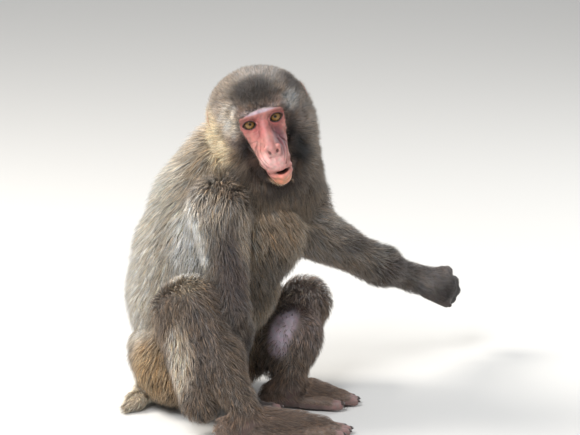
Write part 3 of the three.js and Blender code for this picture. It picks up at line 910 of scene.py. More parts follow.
# ---- the whole body as one field
class Body:
    """The body's flesh and the outline of its coat as distance fields.

    Attributes:
        melt: How far the parts melt into one another.
        floor: Height of the flesh's flat underside over the floor.
        margin: How far the box of a part reaches past its coat.
        fuller: Where the coat stands over the solids' outline round the face: centre and half lengths in the
            head's frame, and by how many millimetres.
    """

    melt = 9.0
    floor = 0.5
    margin = 14.0
    fuller: tuple[tuple[Vec, Vec, float], ...] = (
        ((0, 10, 27), (50, 34, 20), 2.5),
        ((-37, 18, -8), (25, 32, 40), 3.0),
        ((37, 18, -8), (23, 32, 40), 2.5),
        ((-34, 16, -38), (22, 32, 32), 3.0),
        ((34, 16, -38), (20, 32, 32), 3.0),
        ((2, -10, -82), (18, 20, 12), 9.0),
    )

    def __init__(self, anatomy: Anatomy) -> None:
        """Gather the parts, the face and the parts' boxes."""
        self.anatomy = anatomy
        self.frame = anatomy.head_frame
        self.parts = anatomy.parts()
        self.names = [part.name for part in self.parts]
        self.face = Face()
        self.boxes = [part.reach(self.margin) for part in self.parts]

    def name_of(self, part: Array) -> Array:
        """The names of parts given by their numbers."""
        return np.array(self.names)[part]

    def joined(self, each: Array) -> Array:
        """Join the parts' distances: fore and hind parts melt into the trunk, not into one another."""
        fore, hind = np.full(each.shape[1], FAR), np.full(each.shape[1], FAR)
        for part, d in zip(self.parts, each):
            if not part.hind:
                fore = melt(fore, d, self.melt)
            if part.hind or part.name == "trunk":
                hind = melt(hind, d, self.melt)
        return np.minimum(fore, hind)

    def distances(self, p: Array, share: float) -> Array:
        """Distance of each point to each part: one row for each part."""
        each = np.full((len(self.parts), len(p)), FAR)
        for row, part, (low, high) in zip(each, self.parts, self.boxes):
            inside = np.all((p > low) & (p < high), axis=1)
            if inside.any():
                row[inside] = part.distance(p[inside], share)
        return each

    def outline(self, p: Array) -> Array:
        """Distance to the outline of the lying coat."""
        d = self.joined(self.distances(p, 1.0))
        local = self.frame.into(p)
        near = np.flatnonzero(np.all(np.abs(local + vec((0, 0, 32))) < (60, 50, 84), axis=1))
        for at, radii, more in self.fuller:
            q = lengths((local[near] - vec(at)) / vec(radii))
            d[near] -= more * (1.0 - ramp(q, 0.4, 1.4))
        return d

    def finished(self, p: Array, d: Array) -> Array:
        """Flat on the floor and worked in the face."""
        d = np.maximum(d, self.floor - p[:, 2])
        local = self.frame.into(p)
        near = np.all(np.abs(local + vec((0, -7, 32))) < (72, 63, 62), axis=1)
        if near.any():
            d[near] = self.face.shape(local[near], d[near])
        return d

    def flesh(self, p: Array) -> Array:
        """Distance to the finished flesh."""
        return self.finished(p, self.joined(self.distances(p, 0.0)))

    @staticmethod
    def slope(distance: Callable[[Array], Array], p: Array, h: float) -> tuple[Array, Array]:
        """Value and gradient of a distance at points, from forward differences."""
        stack = np.concatenate([p] + [p + row * h for row in np.eye(3)])
        d = distance(stack).reshape(4, -1)
        return d[0], ((d[1:] - d[0]) / h).T


# ---- markings
@dataclass(frozen=True)
class Patch:
    """A marking with a soft edge."""

    at: Vec  # its centre, in the scene or in the head's frame
    radii: Vec  # half lengths to the middle of its soft edge
    tint: Vec  # its colour, as display values of 0 to 255
    strength: float = 1.0  # how much of it shows

    def weight(self, p: Array) -> Array:
        """How strongly it shows at points, 0 to its strength."""
        q = lengths((p - vec(self.at)) / vec(self.radii))
        return self.strength * (1.0 - ramp(q, 0.5, 1.35))


@dataclass(frozen=True)
class Pelt:
    """How the coat of one part grows."""

    tint: Vec  # its ground colour, as display values
    density: float  # tufts for each area, against those of the back
    width: float  # width of a tuft at its root in millimetres
    stretch: float  # how far a tuft runs along the skin for each millimetre that it stands
    frizz: float = 0.12  # how far tufts stray from the lie of the coat


PELTS: dict[str, Pelt] = {
    "muzzle": Pelt((110, 88, 76), 3.4, 0.38, 1.4, 0.16),
    "head": Pelt((128, 115, 102), 2.3, 0.66, 1.25, 0.19),
    "neck": Pelt((112, 99, 85), 1.5, 0.72, 1.15, 0.13),
    "trunk": Pelt((172, 158, 140), 1.0, 0.95, 1.15, 0.13),
    "tail": Pelt((220, 204, 182), 1.4, 0.7, 1.2, 0.12),
    "ear": Pelt((150, 138, 124), 3.0, 0.28, 1.8, 0.14),
    "upper_arm": Pelt((134, 123, 112), 1.25, 0.8, 1.2, 0.12),
    "forearm": Pelt((96, 87, 80), 1.6, 0.64, 1.3, 0.12),
    "hand": Pelt((104, 95, 91), 3.4, 0.42, 2.2, 0.14),
    "thigh": Pelt((144, 124, 101), 1.15, 0.84, 1.15, 0.13),
    "lower_leg": Pelt((126, 111, 98), 1.5, 0.7, 1.2, 0.12),
    "foot": Pelt((128, 108, 94), 3.2, 0.46, 1.8, 0.14),
}


def pelt_of(part: str) -> Pelt:
    """The pelt of a part, by the start of its name."""
    return next(pelt for name, pelt in PELTS.items() if part.startswith(name))


# Markings of the coat on trunk, limbs and shoulders, in the scene, with painted sunlight on the back, the
# right side and the arms' upper edges, and painted shade on the arms' fronts and under the chin.
BODY_PATCHES: tuple[Patch, ...] = (
    # these two: the back's pale coat, made paler on its right side as painted sunlight
    Patch((-55, 45, 250), (75, 75, 95), (202, 196, 184), 0.8),
    Patch((-70, 40, 150), (60, 60, 70), (236, 226, 212), 0.88),
    Patch((60, 40, 190), (60, 60, 110), (182, 168, 148), 0.6),
    # these three: painted sunlight on the right flank, the right shoulder's top and a bright streak behind
    # the right arm
    Patch((-95, 0, 200), (34, 42, 64), (212, 202, 188), 0.8),
    Patch((-97, -78, 276), (32, 34, 36), (196, 184, 170), 0.75),
    Patch((-88, -50, 218), (31, 32, 58), (250, 244, 234), 1.0),
    Patch((-95, -92, 300), (32, 30, 16), (172, 158, 140), 0.7),
    # painted shade on the front of the right upper arm
    Patch((-94, -122, 200), (32, 28, 62), (104, 93, 90), 0.85),
    Patch((-64, -124, 240), (17, 22, 44), (182, 168, 152), 0.8),
    Patch((-10, -142, 232), (46, 34, 48), (154, 135, 115), 0.9),
    Patch((-12, -118, 160), (56, 34, 50), (108, 98, 87), 0.9),
    Patch((-136, -74, 194), (32, 30, 18), (162, 146, 122), 0.75),
    Patch((-142, -108, 130), (26, 34, 64), (128, 115, 106), 0.8),
    # painted rim light along the outer edge of the right calf
    Patch((-150, -70, 92), (24, 22, 48), (232, 214, 194), 0.85),
    Patch((-112, -6, 106), (40, 36, 46), (150, 131, 108), 0.6),
    Patch((-98, 10, 50), (44, 44, 42), (188, 160, 124), 0.8),
    Patch((-74, -101, 304), (22, 22, 26), (128, 110, 92), 0.8),
    # painted shade under the chin
    Patch((0, -152, 290), (40, 26, 34), (98, 85, 73), 0.8),
    # painted sunlight on the top edge of the left upper arm
    Patch((126, -128, 226), (72, 30, 14), (168, 160, 148), 0.7),
    # painted shade along the front of the left upper arm
    Patch((150, -165, 188), (80, 18, 14), (84, 76, 70), 0.8),
    Patch((130, -140, 156), (62, 30, 17), (122, 107, 92), 0.8),
    # painted sunlight on the top edge of the left forearm
    Patch((228, -152, 166), (56, 26, 12), (126, 120, 112), 0.6),
    # painted shade along the front of the left forearm
    Patch((228, -178, 142), (60, 18, 14), (90, 80, 75), 0.7),
    Patch((304, -182, 108), (26, 24, 16), (150, 142, 138), 0.8),
    Patch((332, -190, 84), (26, 30, 26), (52, 45, 42), 0.8),
    Patch((106, -108, 140), (40, 36, 34), (216, 198, 188), 0.88),
    Patch((66, -116, 92), (38, 30, 46), (160, 142, 134), 0.85),
)

# Where the hair of the left calf is so thin that the mauve skin shows.
THIN_PATCHES: tuple[Patch, ...] = (
    Patch((68, -104, 124), (24, 24, 24), (202, 186, 200), 0.9),
    Patch((47, -104, 103), (25, 25, 25), (202, 186, 200), 0.9),
    Patch((28, -102, 78), (25, 25, 25), (202, 186, 200), 0.9),
)

# Markings of the coat on head and ruff, in the head's frame, with painted shade beside the face and under the
# chin.
HEAD_PATCHES: tuple[Patch, ...] = (
    Patch((16, 32, 50), (34, 34, 18), (142, 135, 129), 0.75),
    Patch((-30, 34, 40), (22, 30, 20), (122, 109, 95), 0.75),
    Patch((-2, 6, 38), (32, 27, 21), (34, 24, 15), 1.0),
    Patch((52, 24, 34), (18, 26, 20), (62, 50, 41), 0.95),
    Patch((39, 5, 13), (15, 17, 13), (170, 166, 160), 0.8),
    Patch((-37, 4, 8), (15, 18, 22), (198, 189, 176), 0.8),
    Patch((0, -8, 16.5), (28, 10, 3.6), (196, 180, 176), 0.75),
    Patch((-58, 38, -14), (22, 30, 34), (204, 184, 150), 0.95),
    Patch((-60, 16, -34), (20, 20, 20), (214, 192, 158), 0.85),
    Patch((-46, 4, -42), (16, 16, 14), (104, 87, 73), 0.85),
    # these four: painted shade in the hollow beside the face and jaw, darkest on the head's left, turned from
    # the light
    Patch((-29, 4, -26), (9, 16, 24), (50, 40, 37), 1.0),
    Patch((-24, 4, -52), (9, 18, 18), (78, 58, 48), 0.95),
    Patch((32, 4, -14), (9, 16, 22), (22, 17, 16), 1.0),
    Patch((34, 18, -46), (15, 26, 34), (20, 16, 16), 1.0),
    Patch((-26, 0, -72), (16, 18, 16), (68, 54, 46), 0.9),
    # painted shade under the chin
    Patch((4, 14, -98), (36, 22, 15), (66, 55, 48), 0.9),
    Patch((-8, -8, -82), (18, 14, 10), (214, 176, 142), 0.9),
    Patch((4, -8, -84), (16, 16, 8), (216, 188, 160), 0.8),
)

# Tones of the bare face, in the head's frame, with painted shade under the brow, on the face's left beside
# the nose and in the nostrils and mouth.
FACE_PATCHES: tuple[Patch, ...] = (
    Patch((0, -8, 14), (30, 12, 2.5), (183, 166, 176), 0.9),
    Patch((-7, -16, -4), (12, 16, 15), (158, 86, 84), 0.85),
    # these two: painted shadow of the brow over each eye
    Patch((-17, -10, 8), (12, 9, 2.6), (112, 66, 62), 0.6),
    Patch((17, -10, 8), (12, 9, 2.6), (112, 66, 62), 0.6),
    # painted shade on the face's left, between eye and nose
    Patch((12, -14, -8), (11, 14, 9), (112, 58, 58), 0.8),
    Patch((-22, -8, -14), (9, 12, 14), (176, 114, 105), 0.8),
    Patch((-1, -34, -22), (8, 12, 14), (150, 98, 94), 0.8),
    Patch((-3, -32, -43), (17, 16, 13), (214, 166, 161), 0.9),
    # painted shade on the face's left beside the nose
    Patch((14, -22, -21), (9, 13, 17), (96, 50, 60), 0.92),
    Patch((11, -28, -34), (6, 9, 8), (142, 96, 98), 0.6),
    Patch((3, -24, -75), (15, 20, 12), (212, 148, 118), 0.95),
    Patch((4, -30, -64.5), (12, 8, 3), (214, 134, 118), 0.7),
    # painted shade inside the mouth's opening
    Patch((4.6, -25, -60.4), (8.6, 11, 3.2), (30, 12, 12), 1.0),
    # these two: painted shade inside the nostrils
    Patch((-3.8, -34, -32), (2.4, 5.5, 3.2), (62, 24, 24), 0.95),
    Patch((5.4, -34, -32), (2.4, 5.5, 3.2), (62, 24, 24), 0.95),
)


@dataclass(frozen=True)
class BareTints:
    """Tints of the bare skin, as display values."""

    skin: Vec = (120, 98, 92)
    hand: Vec = (66, 55, 52)
    foot: Vec = (94, 76, 72)
    ear: Vec = (168, 118, 106)
    toes: Vec = (138, 110, 106)
    face: Vec = (174, 118, 109)
    face_edge: Vec = (128, 88, 78)
    eye_flush: Vec = (170, 92, 88)
    # dark rim of the lids, laid wider above each eye as painted shade under the upper lid
    eye_rim: Vec = (34, 22, 20)


class Markings:
    """Colours of skin and coat, with painted light and shade laid into them, and how much of the skin is
    covered, by place on the body.

    Attributes:
        levels: Heights in the head's frame at which the bare face's half width is given.
        half: Its half width at each.
        tints: Tints of the bare skin.
    """

    levels = (-88, -81, -74, -62, -45, -30, -15, 0, 8.5, 11.8, 14.4, 16.4)
    half = (0, 7, 12.5, 18.5, 20, 22.5, 26, 28, 28.5, 25, 14, 0)
    tints = BareTints()

    def __init__(self, body: Body) -> None:
        """Keep the body and draw the fine mottling."""
        self.body = body
        self.mottle = Ripple(11, 7.0, 3)

    def bare(self, local: Array) -> Array:
        """How bare the face is at points of the head's frame, 0 furred to 1 bare."""
        x, y, z = local.T
        half = np.interp(z, self.levels, self.half)
        middle = np.interp(z, (-85, -45, -10, 20), (3, 1, 0, 0))
        depth = np.interp(z, (-92, -75, -45, -20, 0, 20), (-12, -2, 1, 3, 4, 2))
        wander = self.mottle(local)[:, 0] * 0.8
        inside = ramp(half - np.abs(x - middle) + wander, -2.6, 2.2) * ramp(depth - y, -3.0, 2.5)
        return inside * (y < 16)

    def cover(self, p: Array, n: Array, part: Array) -> Array:
        """How thickly the skin is covered.

        Args:
            p: Points of the skin.
            n: Normals there.
            part: Index of the part that each belongs to.

        Returns:
            0 on bare skin to 1 under the full coat.
        """
        body = self.body
        cover = 1.0 - self.bare(body.frame.into(p))
        names = body.name_of(part)
        for side in Side:
            ear = names == f"ear_{side.word}"
            outward = n @ body.frame.way((side.value, -0.35, 0))
            cover = np.where(ear, cover * (0.25 + 0.75 * ramp(-outward, -0.45, 0.1)), cover)
            hand = names == f"hand_{side.word}"
            back = vec((-0.2, -1.0, 0.15)) if side is Side.LEFT else UP
            cover = np.where(hand, cover * ramp(n @ unit(back), -0.35, 0.35), cover)
            foot = names == f"foot_{side.word}"
            cover = np.where(foot, cover * ramp(n[:, 2], -0.25, 0.4), cover)
            for bed in body.anatomy.nails:
                near = lengths(p - bed.tip)
                cover = cover * (0.15 + 0.85 * ramp(near, 5.0, 14.0))
        for patch in THIN_PATCHES:
            cover = cover * (1.0 - 0.8 * patch.weight(p))
        return cover * np.where((p[:, 2] < 2.0) & (n[:, 2] < -0.6), 0.15, 1.0)

    def paint(self, base: Array, p: Array, patches: Iterable[Patch]) -> Array:
        """Lay patches over base colours at points, in linear light."""
        colour = base.copy()
        for patch in patches:
            colour = mix(colour, srgb(*patch.tint), patch.weight(p)[:, None])
        return colour

    def coat(self, base: Array, p: Array) -> Array:
        """Colour of the coat at points, from the ground colour of the parts near them, with markings and
        painted light and shade laid over it.
        """
        local = self.body.frame.into(p)
        colour = self.paint(base, p, BODY_PATCHES)
        on_head = (np.abs(local[:, 0]) < 95) & (local[:, 2] > -125) & (local[:, 1] < 120)
        colour[on_head] = self.paint(colour[on_head], local[on_head], HEAD_PATCHES)
        return colour

    def skin(self, p: Array, n: Array, part: Array, under: Array, cover: Array) -> Array:
        """Colour of the skin: bare face, ears, hands and feet, and under the coat the coat's colour darkened
        as painted shade, so that gaps between tufts read as shade.

        Args:
            p: Points of the skin.
            n: Normals there.
            part: Index of the part that each belongs to.
            under: Colour of the coat over each point.
            cover: How thickly each is covered.

        Returns:
            Linear colours.
        """
        body, tints = self.body, self.tints
        local, names = body.frame.into(p), body.name_of(part)
        bare = np.tile(srgb(*tints.skin), (len(p), 1))
        for stem in ("hand", "foot", "ear"):
            bare[np.char.startswith(names, stem)] = srgb(*getattr(tints, stem))
        bare = self.paint(bare, p, THIN_PATCHES)
        toes = np.zeros(len(p))
        for bed in body.anatomy.nails:
            if bed.tip[2] < 30:
                toes = np.maximum(toes, 1.0 - ramp(lengths(p - bed.tip), 8.0, 26.0))
        bare = mix(bare, srgb(*tints.toes), (toes * 0.75)[:, None])
        bare = mix(bare, self.face(local), self.bare(local)[:, None])
        mottle = self.mottle(p)
        bare = bare * (1.0 + 0.07 * mottle[:, :1]) * (1.0 + 0.05 * mottle[:, 1:2] * vec((1.0, -0.4, -0.2)))
        # under the coat the skin takes the coat's colour darkened as painted shade, less on the head
        hidden = ramp(cover, 0.05, 0.6)[:, None]
        ground = np.where(np.isin(names, ("head", "muzzle")), 0.8, 0.62)[:, None]
        return np.clip(mix(bare, under * ground, hidden), 0.0, 1.0)

    def face(self, local: Array) -> Array:
        """Colour of the bare face at points of the head's frame, with dark rims round flushed eyes, widened
        above each eye as painted shade under the upper lid, and painted shade in the furrows.
        """
        face, tints = self.body.face, self.tints
        pink = self.paint(np.tile(srgb(*tints.face), (len(local), 1)), local, FACE_PATCHES)
        pink = mix(pink, srgb(*tints.face_edge), bell(self.bare(local) - 0.6, 0.35)[:, None] * 0.35)
        for s in (-1, 1):
            q = local - face.eye_at(s)
            slit, _ = face.slit_distance(q, s)
            near = (q[:, 1] < 3) & (lengths(q) < 16)
            flush = np.where(near, (1.0 - ramp(slit, 1.5, 7.0)) * 0.45, 0.0)[:, None]
            # dark lid rim, widened above the eye as painted shade under the upper lid
            rim = np.where(near, 1.0 - ramp(slit, 0.5, 1.9 + 1.3 * ramp(q[:, 2], -1.0, 3.0)), 0.0)[:, None]
            pink = mix(mix(pink, srgb(*tints.eye_flush), flush), srgb(*tints.eye_rim), rim)
        # painted shade along the furrows of the face
        return pink * (1.0 - 0.32 * np.clip(face.folds(local), 0.0, 1.4))[:, None]


# ---- skin
class SkinMaker:
    """Makes the one skin of the whole body, fine in the face and on hands and feet."""

    pitch = 3.0  # size of the first net's cells
    outside = 60.0  # the value far from the body on the grid

    def __init__(self, body: Body) -> None:
        """Keep the body."""
        self.body = body

    def net(self) -> tuple[Array, Array]:
        """Sample the flesh on a grid and draw a net of quads over it.

        Returns:
            The net's points and its quads.
        """
        body, h = self.body, self.pitch
        low = np.min([b[0] for b in body.boxes], axis=0)
        low[2] = -2.5 * h
        high = np.max([b[1] for b in body.boxes], axis=0)
        count = np.ceil((high - low) / h).astype(int) + 1
        lines = [low[i] + h * np.arange(count[i]) for i in range(3)]
        fore = np.full(tuple(count), self.outside)
        hind = fore.copy()
        for part, (a, b) in zip(body.parts, body.boxes):
            first = np.maximum(np.floor((a - low) / h).astype(int), 0)
            last = np.minimum(np.ceil((b - low) / h).astype(int) + 1, count)
            cut = tuple(slice(i, j) for i, j in zip(first, last))
            grid = np.stack(np.meshgrid(*[line[c] for line, c in zip(lines, cut)], indexing="ij"), -1)
            d = part.distance(grid.reshape(-1, 3), 0.0).reshape(grid.shape[:3])
            if not part.hind:
                fore[cut] = melt(fore[cut], d, body.melt)
            if part.hind or part.name == "trunk":
                hind[cut] = melt(hind[cut], d, body.melt)
        values = np.minimum(fore, hind)
        close = np.argwhere(values < 3 * h)
        p = low + close * h
        values[tuple(close.T)] = body.finished(p, values[tuple(close.T)].copy())
        volume = openvdb.FloatGrid(self.outside)
        volume.copyFromArray(values.astype(np.float32))
        points, quads = volume.convertToQuads(isovalue=0.0)
        return points * h + low, quads.astype(np.int64)

    @staticmethod
    def whole(mesh: Mesh) -> None:
        """Keep only the largest closed shell of a mesh."""
        with opened(mesh) as bm:
            left, shells = set(bm.verts), []
            while left:
                shell, edge = set(), [next(iter(left))]
                while edge:
                    v = edge.pop()
                    if v in shell:
                        continue
                    shell.add(v)
                    edge += [e.other_vert(v) for e in v.link_edges if e.other_vert(v) not in shell]
                shells.append(shell)
                left -= shell
            shells.sort(key=len)
            for shell in shells[:-1]:
                bmesh.ops.delete(bm, geom=list(shell), context="VERTS")

    @staticmethod
    def points(mesh: Mesh) -> Array:
        """The points of a mesh as an array."""
        flat = np.empty(len(mesh.vertices) * 3, np.float32)
        mesh.vertices.foreach_get("co", flat)
        return flat.reshape(-1, 3).astype(float)

    def settle(self, mesh: Mesh, rounds: int, step: float, relax: float = 0.0) -> Array:
        """Move the points onto the finished flesh.

        Args:
            mesh: The skin.
            rounds: Number of moves.
            step: Longest single move in millimetres.
            relax: Share of the way to the middle of its neighbours that each point first slides.

        Returns:
            Unit normals at the points.
        """
        p = self.points(mesh)
        edges = np.empty(len(mesh.edges) * 2, np.int32)
        mesh.edges.foreach_get("vertices", edges)
        a, b = edges.reshape(-1, 2).T
        valence = np.maximum(np.bincount(np.concatenate([a, b]), minlength=len(p)), 1)
        normal = np.zeros_like(p)
        for _ in range(rounds):
            if relax and normal.any():
                sums = [np.bincount(a, p[b, i], len(p)) + np.bincount(b, p[a, i], len(p)) for i in range(3)]
                slide = np.stack(sums, 1) / valence[:, None] - p
                slide -= normal * (slide * normal).sum(axis=1, keepdims=True)
                p = p + slide * relax
            d, g = Body.slope(self.body.flesh, p, 0.06)
            steep = np.maximum((g * g).sum(axis=1), 0.25)
            move = np.clip(d / steep, -step, step)[:, None] * g
            p = p - move
            normal = unit(g)
        mesh.vertices.foreach_set("co", p.astype(np.float32).ravel())
        mesh.update()
        return normal

    def refine(self, mesh: Mesh, wanted: Callable[[Array], Array]) -> None:
        """Halve the faces whose centres are wanted."""
        with opened(mesh) as bm:
            bm.faces.ensure_lookup_table()
            centres = np.array([f.calc_center_median()[:] for f in bm.faces])
            chosen = [bm.faces[i] for i in np.flatnonzero(wanted(centres))]
            edges = list({e for f in chosen for e in f.edges})
            bmesh.ops.subdivide_edges(bm, edges=edges, cuts=1, use_grid_fill=True)

    def near_face(self, p: Array) -> Array:
        """Whether points are on the bare face or an eye."""
        q = self.body.frame.into(p)
        return (np.abs(q[:, 0]) < 31) & (q[:, 1] < 6) & (q[:, 2] > -86) & (q[:, 2] < 21)

    def near_detail(self, p: Array) -> Array:
        """Whether points are on the face, an ear, a hand or a foot."""
        each = self.body.distances(p, 0.0)
        rows = [i for i, name in enumerate(self.body.names) if name.split("_")[0] in ("ear", "hand", "foot")]
        return self.near_face(p) | (each[rows].min(axis=0) < 1.5)

    def make(self) -> tuple[Mesh, Array]:
        """Make the skin.

        Returns:
            The mesh in millimetres, all triangles, and its normals.
        """
        points, quads = self.net()
        mesh = bpy.data.meshes.new("skin")
        mesh.from_pydata(points.tolist(), [], quads.tolist())
        self.whole(mesh)
        self.settle(mesh, 2, 1.5)
        LOG.info("skin net of %d points", len(mesh.vertices))
        self.refine(mesh, self.near_detail)
        self.settle(mesh, 2, 0.9, 0.5)
        self.refine(mesh, self.near_face)
        with opened(mesh) as bm:
            bmesh.ops.triangulate(bm, faces=bm.faces)
        return mesh, self.settle(mesh, 4, 0.5, 0.5)


# ---- meshes in general
@contextmanager
def opened(mesh: Mesh) -> Iterator[bmesh.types.BMesh]:
    """A mesh opened for editing, and written back when the work on it is done."""
    bm = bmesh.new()
    bm.from_mesh(mesh)
    try:
        yield bm
        bm.to_mesh(mesh)
    finally:
        bm.free()


def mesh_of(name: str, points: Array, triangles: Array) -> Mesh:
    """A smooth mesh in metres.

    Args:
        name: The mesh's name.
        points: Points in millimetres.
        triangles: Rows of three point numbers.

    Returns:
        The mesh.
    """
    mesh = bpy.data.meshes.new(name)
    mesh.vertices.add(len(points))
    mesh.vertices.foreach_set("co", (points * MM).astype(np.float32).ravel())
    mesh.loops.add(triangles.size)
    mesh.loops.foreach_set("vertex_index", triangles.astype(np.int32).ravel())
    mesh.polygons.add(len(triangles))
    mesh.polygons.foreach_set("loop_start", np.arange(0, triangles.size, 3, dtype=np.int32))
    mesh.polygons.foreach_set("use_smooth", np.ones(len(triangles), bool))
    mesh.update(calc_edges=True)
    return mesh


def tint(mesh: Mesh, colours: Array) -> None:
    """Store linear colours on a mesh's points as the attribute that the finishes read."""
    rgba = np.ones((len(colours), 4), np.float32)
    rgba[:, :3] = colours
    mesh.color_attributes.new("tone", "FLOAT_COLOR", "POINT").data.foreach_set("color", rgba.ravel())


def put(mesh: Mesh, material: bpy.types.Material) -> bpy.types.Object:
    """Place a mesh in the scene on the body, with its material."""
    piece = bpy.data.objects.new(mesh.name, mesh)
    bpy.context.scene.collection.objects.link(piece)
    mesh.materials.append(material)
    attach(piece, "root")
    return piece


# ---- coat
@dataclass
class SkinSurvey:
    """What the coat needs to know at each point of the skin."""

    points: Array
    normals: Array
    triangles: Array
    part: Array
    lie: Array
    pelt: Array  # density, width, stretch, frizz
    ground: Array
    cover: Array
    depth: Array


class Surveyor:
    """Measures the skin: parts, lie of the hair, depth of the coat, ground colour and cover."""

    blend = 5.0  # distance over which the pelt of one mass gives way to the next
    denser = 1.3  # how much denser the tufts stand beside the face
    knee_reach = 42.0  # how far from a knee its hair turns
    down_shin = 0.45  # share of the shin's own way in the turn over a knee
    shoulder_rise = 26.0  # height of the right shoulder's top over its joint
    shoulder_reach = 38.0  # how far from there the hair turns
    shoulder_lie = (-0.8, -0.2, -0.7)  # the way it then lies
    down_nape = 1.6  # how steeply the hair falls behind the head
    forward_beard = 0.7  # how far the hair under the chin turns forward

    def __init__(self, body: Body, markings: Markings) -> None:
        """Keep the body and its markings."""
        self.body = body
        self.markings = markings

    def lie_over(self, p: Array, n: Array, part: Array, lie: Array) -> Array:
        """Turn the lie of the hair over the knees and the right shoulder, and away from the face.

        Args:
            p: Points of the skin.
            n: Normals there.
            part: Index of the part that each belongs to.
            lie: The lie as the masses give it.

        Returns:
            The lie with these turns.
        """
        body, names = self.body, self.body.name_of(part)
        pose = body.anatomy.pose
        for side in Side:
            hip, knee, ankle = pose.joints(side, "hip", "knee", "ankle")
            thigh, shin = unit(knee - hip), unit(ankle - knee)
            over = np.cross(unit(np.cross(thigh, shin)), n) + shin * self.down_shin
            on_leg = np.isin(names, (f"thigh_{side.word}", f"lower_leg_{side.word}"))
            on_knee = on_leg * bell(lengths(p - knee), self.knee_reach, 4)
            lie = mix(lie, over, on_knee[:, None])
        top = pose.joint("shoulder", Side.RIGHT) + UP * self.shoulder_rise
        on_top = bell(lengths(p - top), self.shoulder_reach, 4)[:, None]
        lie = mix(lie, unit(vec(self.shoulder_lie)), on_top)
        x, y, z = body.frame.into(p).T
        behind = ramp(y, 40.0, 90.0)
        beard = (1.0 - ramp(y, -8.0, 4.0)) * (1.0 - ramp(z, -76.0, -62.0))
        away = np.stack([x / 30.0, 0.85 - behind, np.clip((z + 16.0) / 40.0, -1.0, 0.8)], axis=1)
        away[:, 2] -= self.down_nape * behind
        away[:, 1] -= self.forward_beard * beard
        on_head = np.isin(names, ("head", "muzzle", "neck")) * ramp(z, -95.0, -60.0) * ramp(-y, -100.0, -75.0)
        return mix(lie, unit(unit(away) @ body.frame.axes.T), on_head[:, None])

    def survey(self, mesh: Mesh, normals: Array) -> SkinSurvey:
        """Measure every point of the skin.

        Args:
            mesh: The skin in millimetres.
            normals: Its normals.

        Returns:
            The survey.
        """
        body, p = self.body, SkinMaker.points(mesh)
        corners = np.empty(len(mesh.loops), np.int32)
        mesh.loops.foreach_get("vertex_index", corners)
        part = body.distances(p, 0.0).argmin(axis=0)
        total, sums = np.full(len(p), 1e-12), np.zeros((len(p), 10))
        for piece, (low, high) in zip(body.parts, body.boxes):
            inside = np.flatnonzero(np.all((p > low) & (p < high), axis=1))
            pelt = pelt_of(piece.name)
            for shape in piece.shapes:
                w = np.exp(-np.clip(shape.distance(p[inside], 0.0), 0.0, 60.0) / self.blend)
                growth = (pelt.density, pelt.width, pelt.stretch, pelt.frizz)
                row = np.concatenate([shape.lie, growth, srgb(*pelt.tint)])
                sums[inside] += w[:, None] * row
                total[inside] += w
        sums /= total[:, None]
        sums[:, :3] = self.lie_over(p, normals, part, sums[:, :3])
        depth = np.clip(-body.outline(p), 1.0, 32.0)
        on_head = np.isin(body.name_of(part), ("head", "muzzle"))
        beside = (1.0 - ramp(body.frame.into(p)[:, 1], 5.0, 45.0)) * on_head
        sums[:, 3] *= 1.0 + self.denser * beside
        lie, pelt, ground = sums[:, :3], sums[:, 3:7], sums[:, 7:]
        cover = self.markings.cover(p, normals, part)
        return SkinSurvey(p, normals, corners.reshape(-1, 3), part, lie, pelt, ground, cover, depth)


class CoatRegion(Enum):
    """The pieces that the coat is made in, with the most tufts of each."""

    HEAD_LEFT = ("coat_head_left", 17500)
    HEAD_RIGHT = ("coat_head_right", 17500)
    NECK = ("coat_neck", 17000)
    BACK_LEFT = ("coat_back_left", 14500)
    BACK_RIGHT = ("coat_back_right", 15500)
    CHEST = ("coat_chest", 9500)
    ARM_LEFT = ("coat_arm_left", 15500)
    ARM_RIGHT = ("coat_arm_right", 13500)
    LEG_LEFT = ("coat_leg_left", 14500)
    LEG_RIGHT = ("coat_leg_right", 14500)


@dataclass
class Tufts:
    """Tufts of one region: their roots, their bends and tips, widths, colours and places on the unwrap."""

    root: Array
    bend: Array
    tip: Array
    side: Array
    width: Array
    colour: Array
    place: Array


@dataclass(frozen=True)
class Growth:
    """How every tuft grows and varies. A range gives the lowest and highest draw, lengths are millimetres."""

    thinning: float = 1.25  # power by which tufts get fewer where the skin is half bare
    clump: float = 0.26  # how far neighbours lean together into locks
    length: Pair = (0.72, 1.06)  # range of the length against the usual one
    thin_length: float = 0.55  # share of the length left where the skin is nearly bare
    least_run: float = 2.2  # how far even the shortest tuft runs along the skin
    flat_run: float = 0.5  # share of the run lost beside the face
    rise: Pair = (0.82, 0.2)  # least height of the tip against the coat's depth, and the chance on top
    bend: Pair = (0.62, 0.4)  # where a tuft bends, as shares of its rise and its run
    bend_inset: float = 0.22  # how far the bend keeps under the outline, against the depth
    tip_inset: Pair = (-0.06, 0.16)  # range of the same for the tip
    stray_inset: Pair = (-0.22, -0.08)  # range of the same for the tip of a stray tuft
    strays: float = 0.1  # share of stray tufts
    sunk: float = 0.5  # how deep the root sits in the skin
    off_floor: Pair = (0.4, 0.8)  # least height of bends and tips, and the chance on top
    root_height: float = 0.3  # least height of a root
    breadth: Pair = (0.75, 1.25)  # range of the width against the pelt's
    thin_breadth: float = 0.7  # share of the width left where the coat is thinnest
    shades: Vec = (0.15, 0.24, 0.2)  # strength of streaks, grain and chance in the tone
    pale: Pair = (0.12, 1.5)  # share of pale tufts and their tone
    dark: Pair = (0.84, 0.52)  # draw above which a tuft is dark, and its tone
    tones: Pair = (0.35, 1.9)  # darkest and palest tone
    warmth: float = 0.05  # strength of warmer and colder tufts


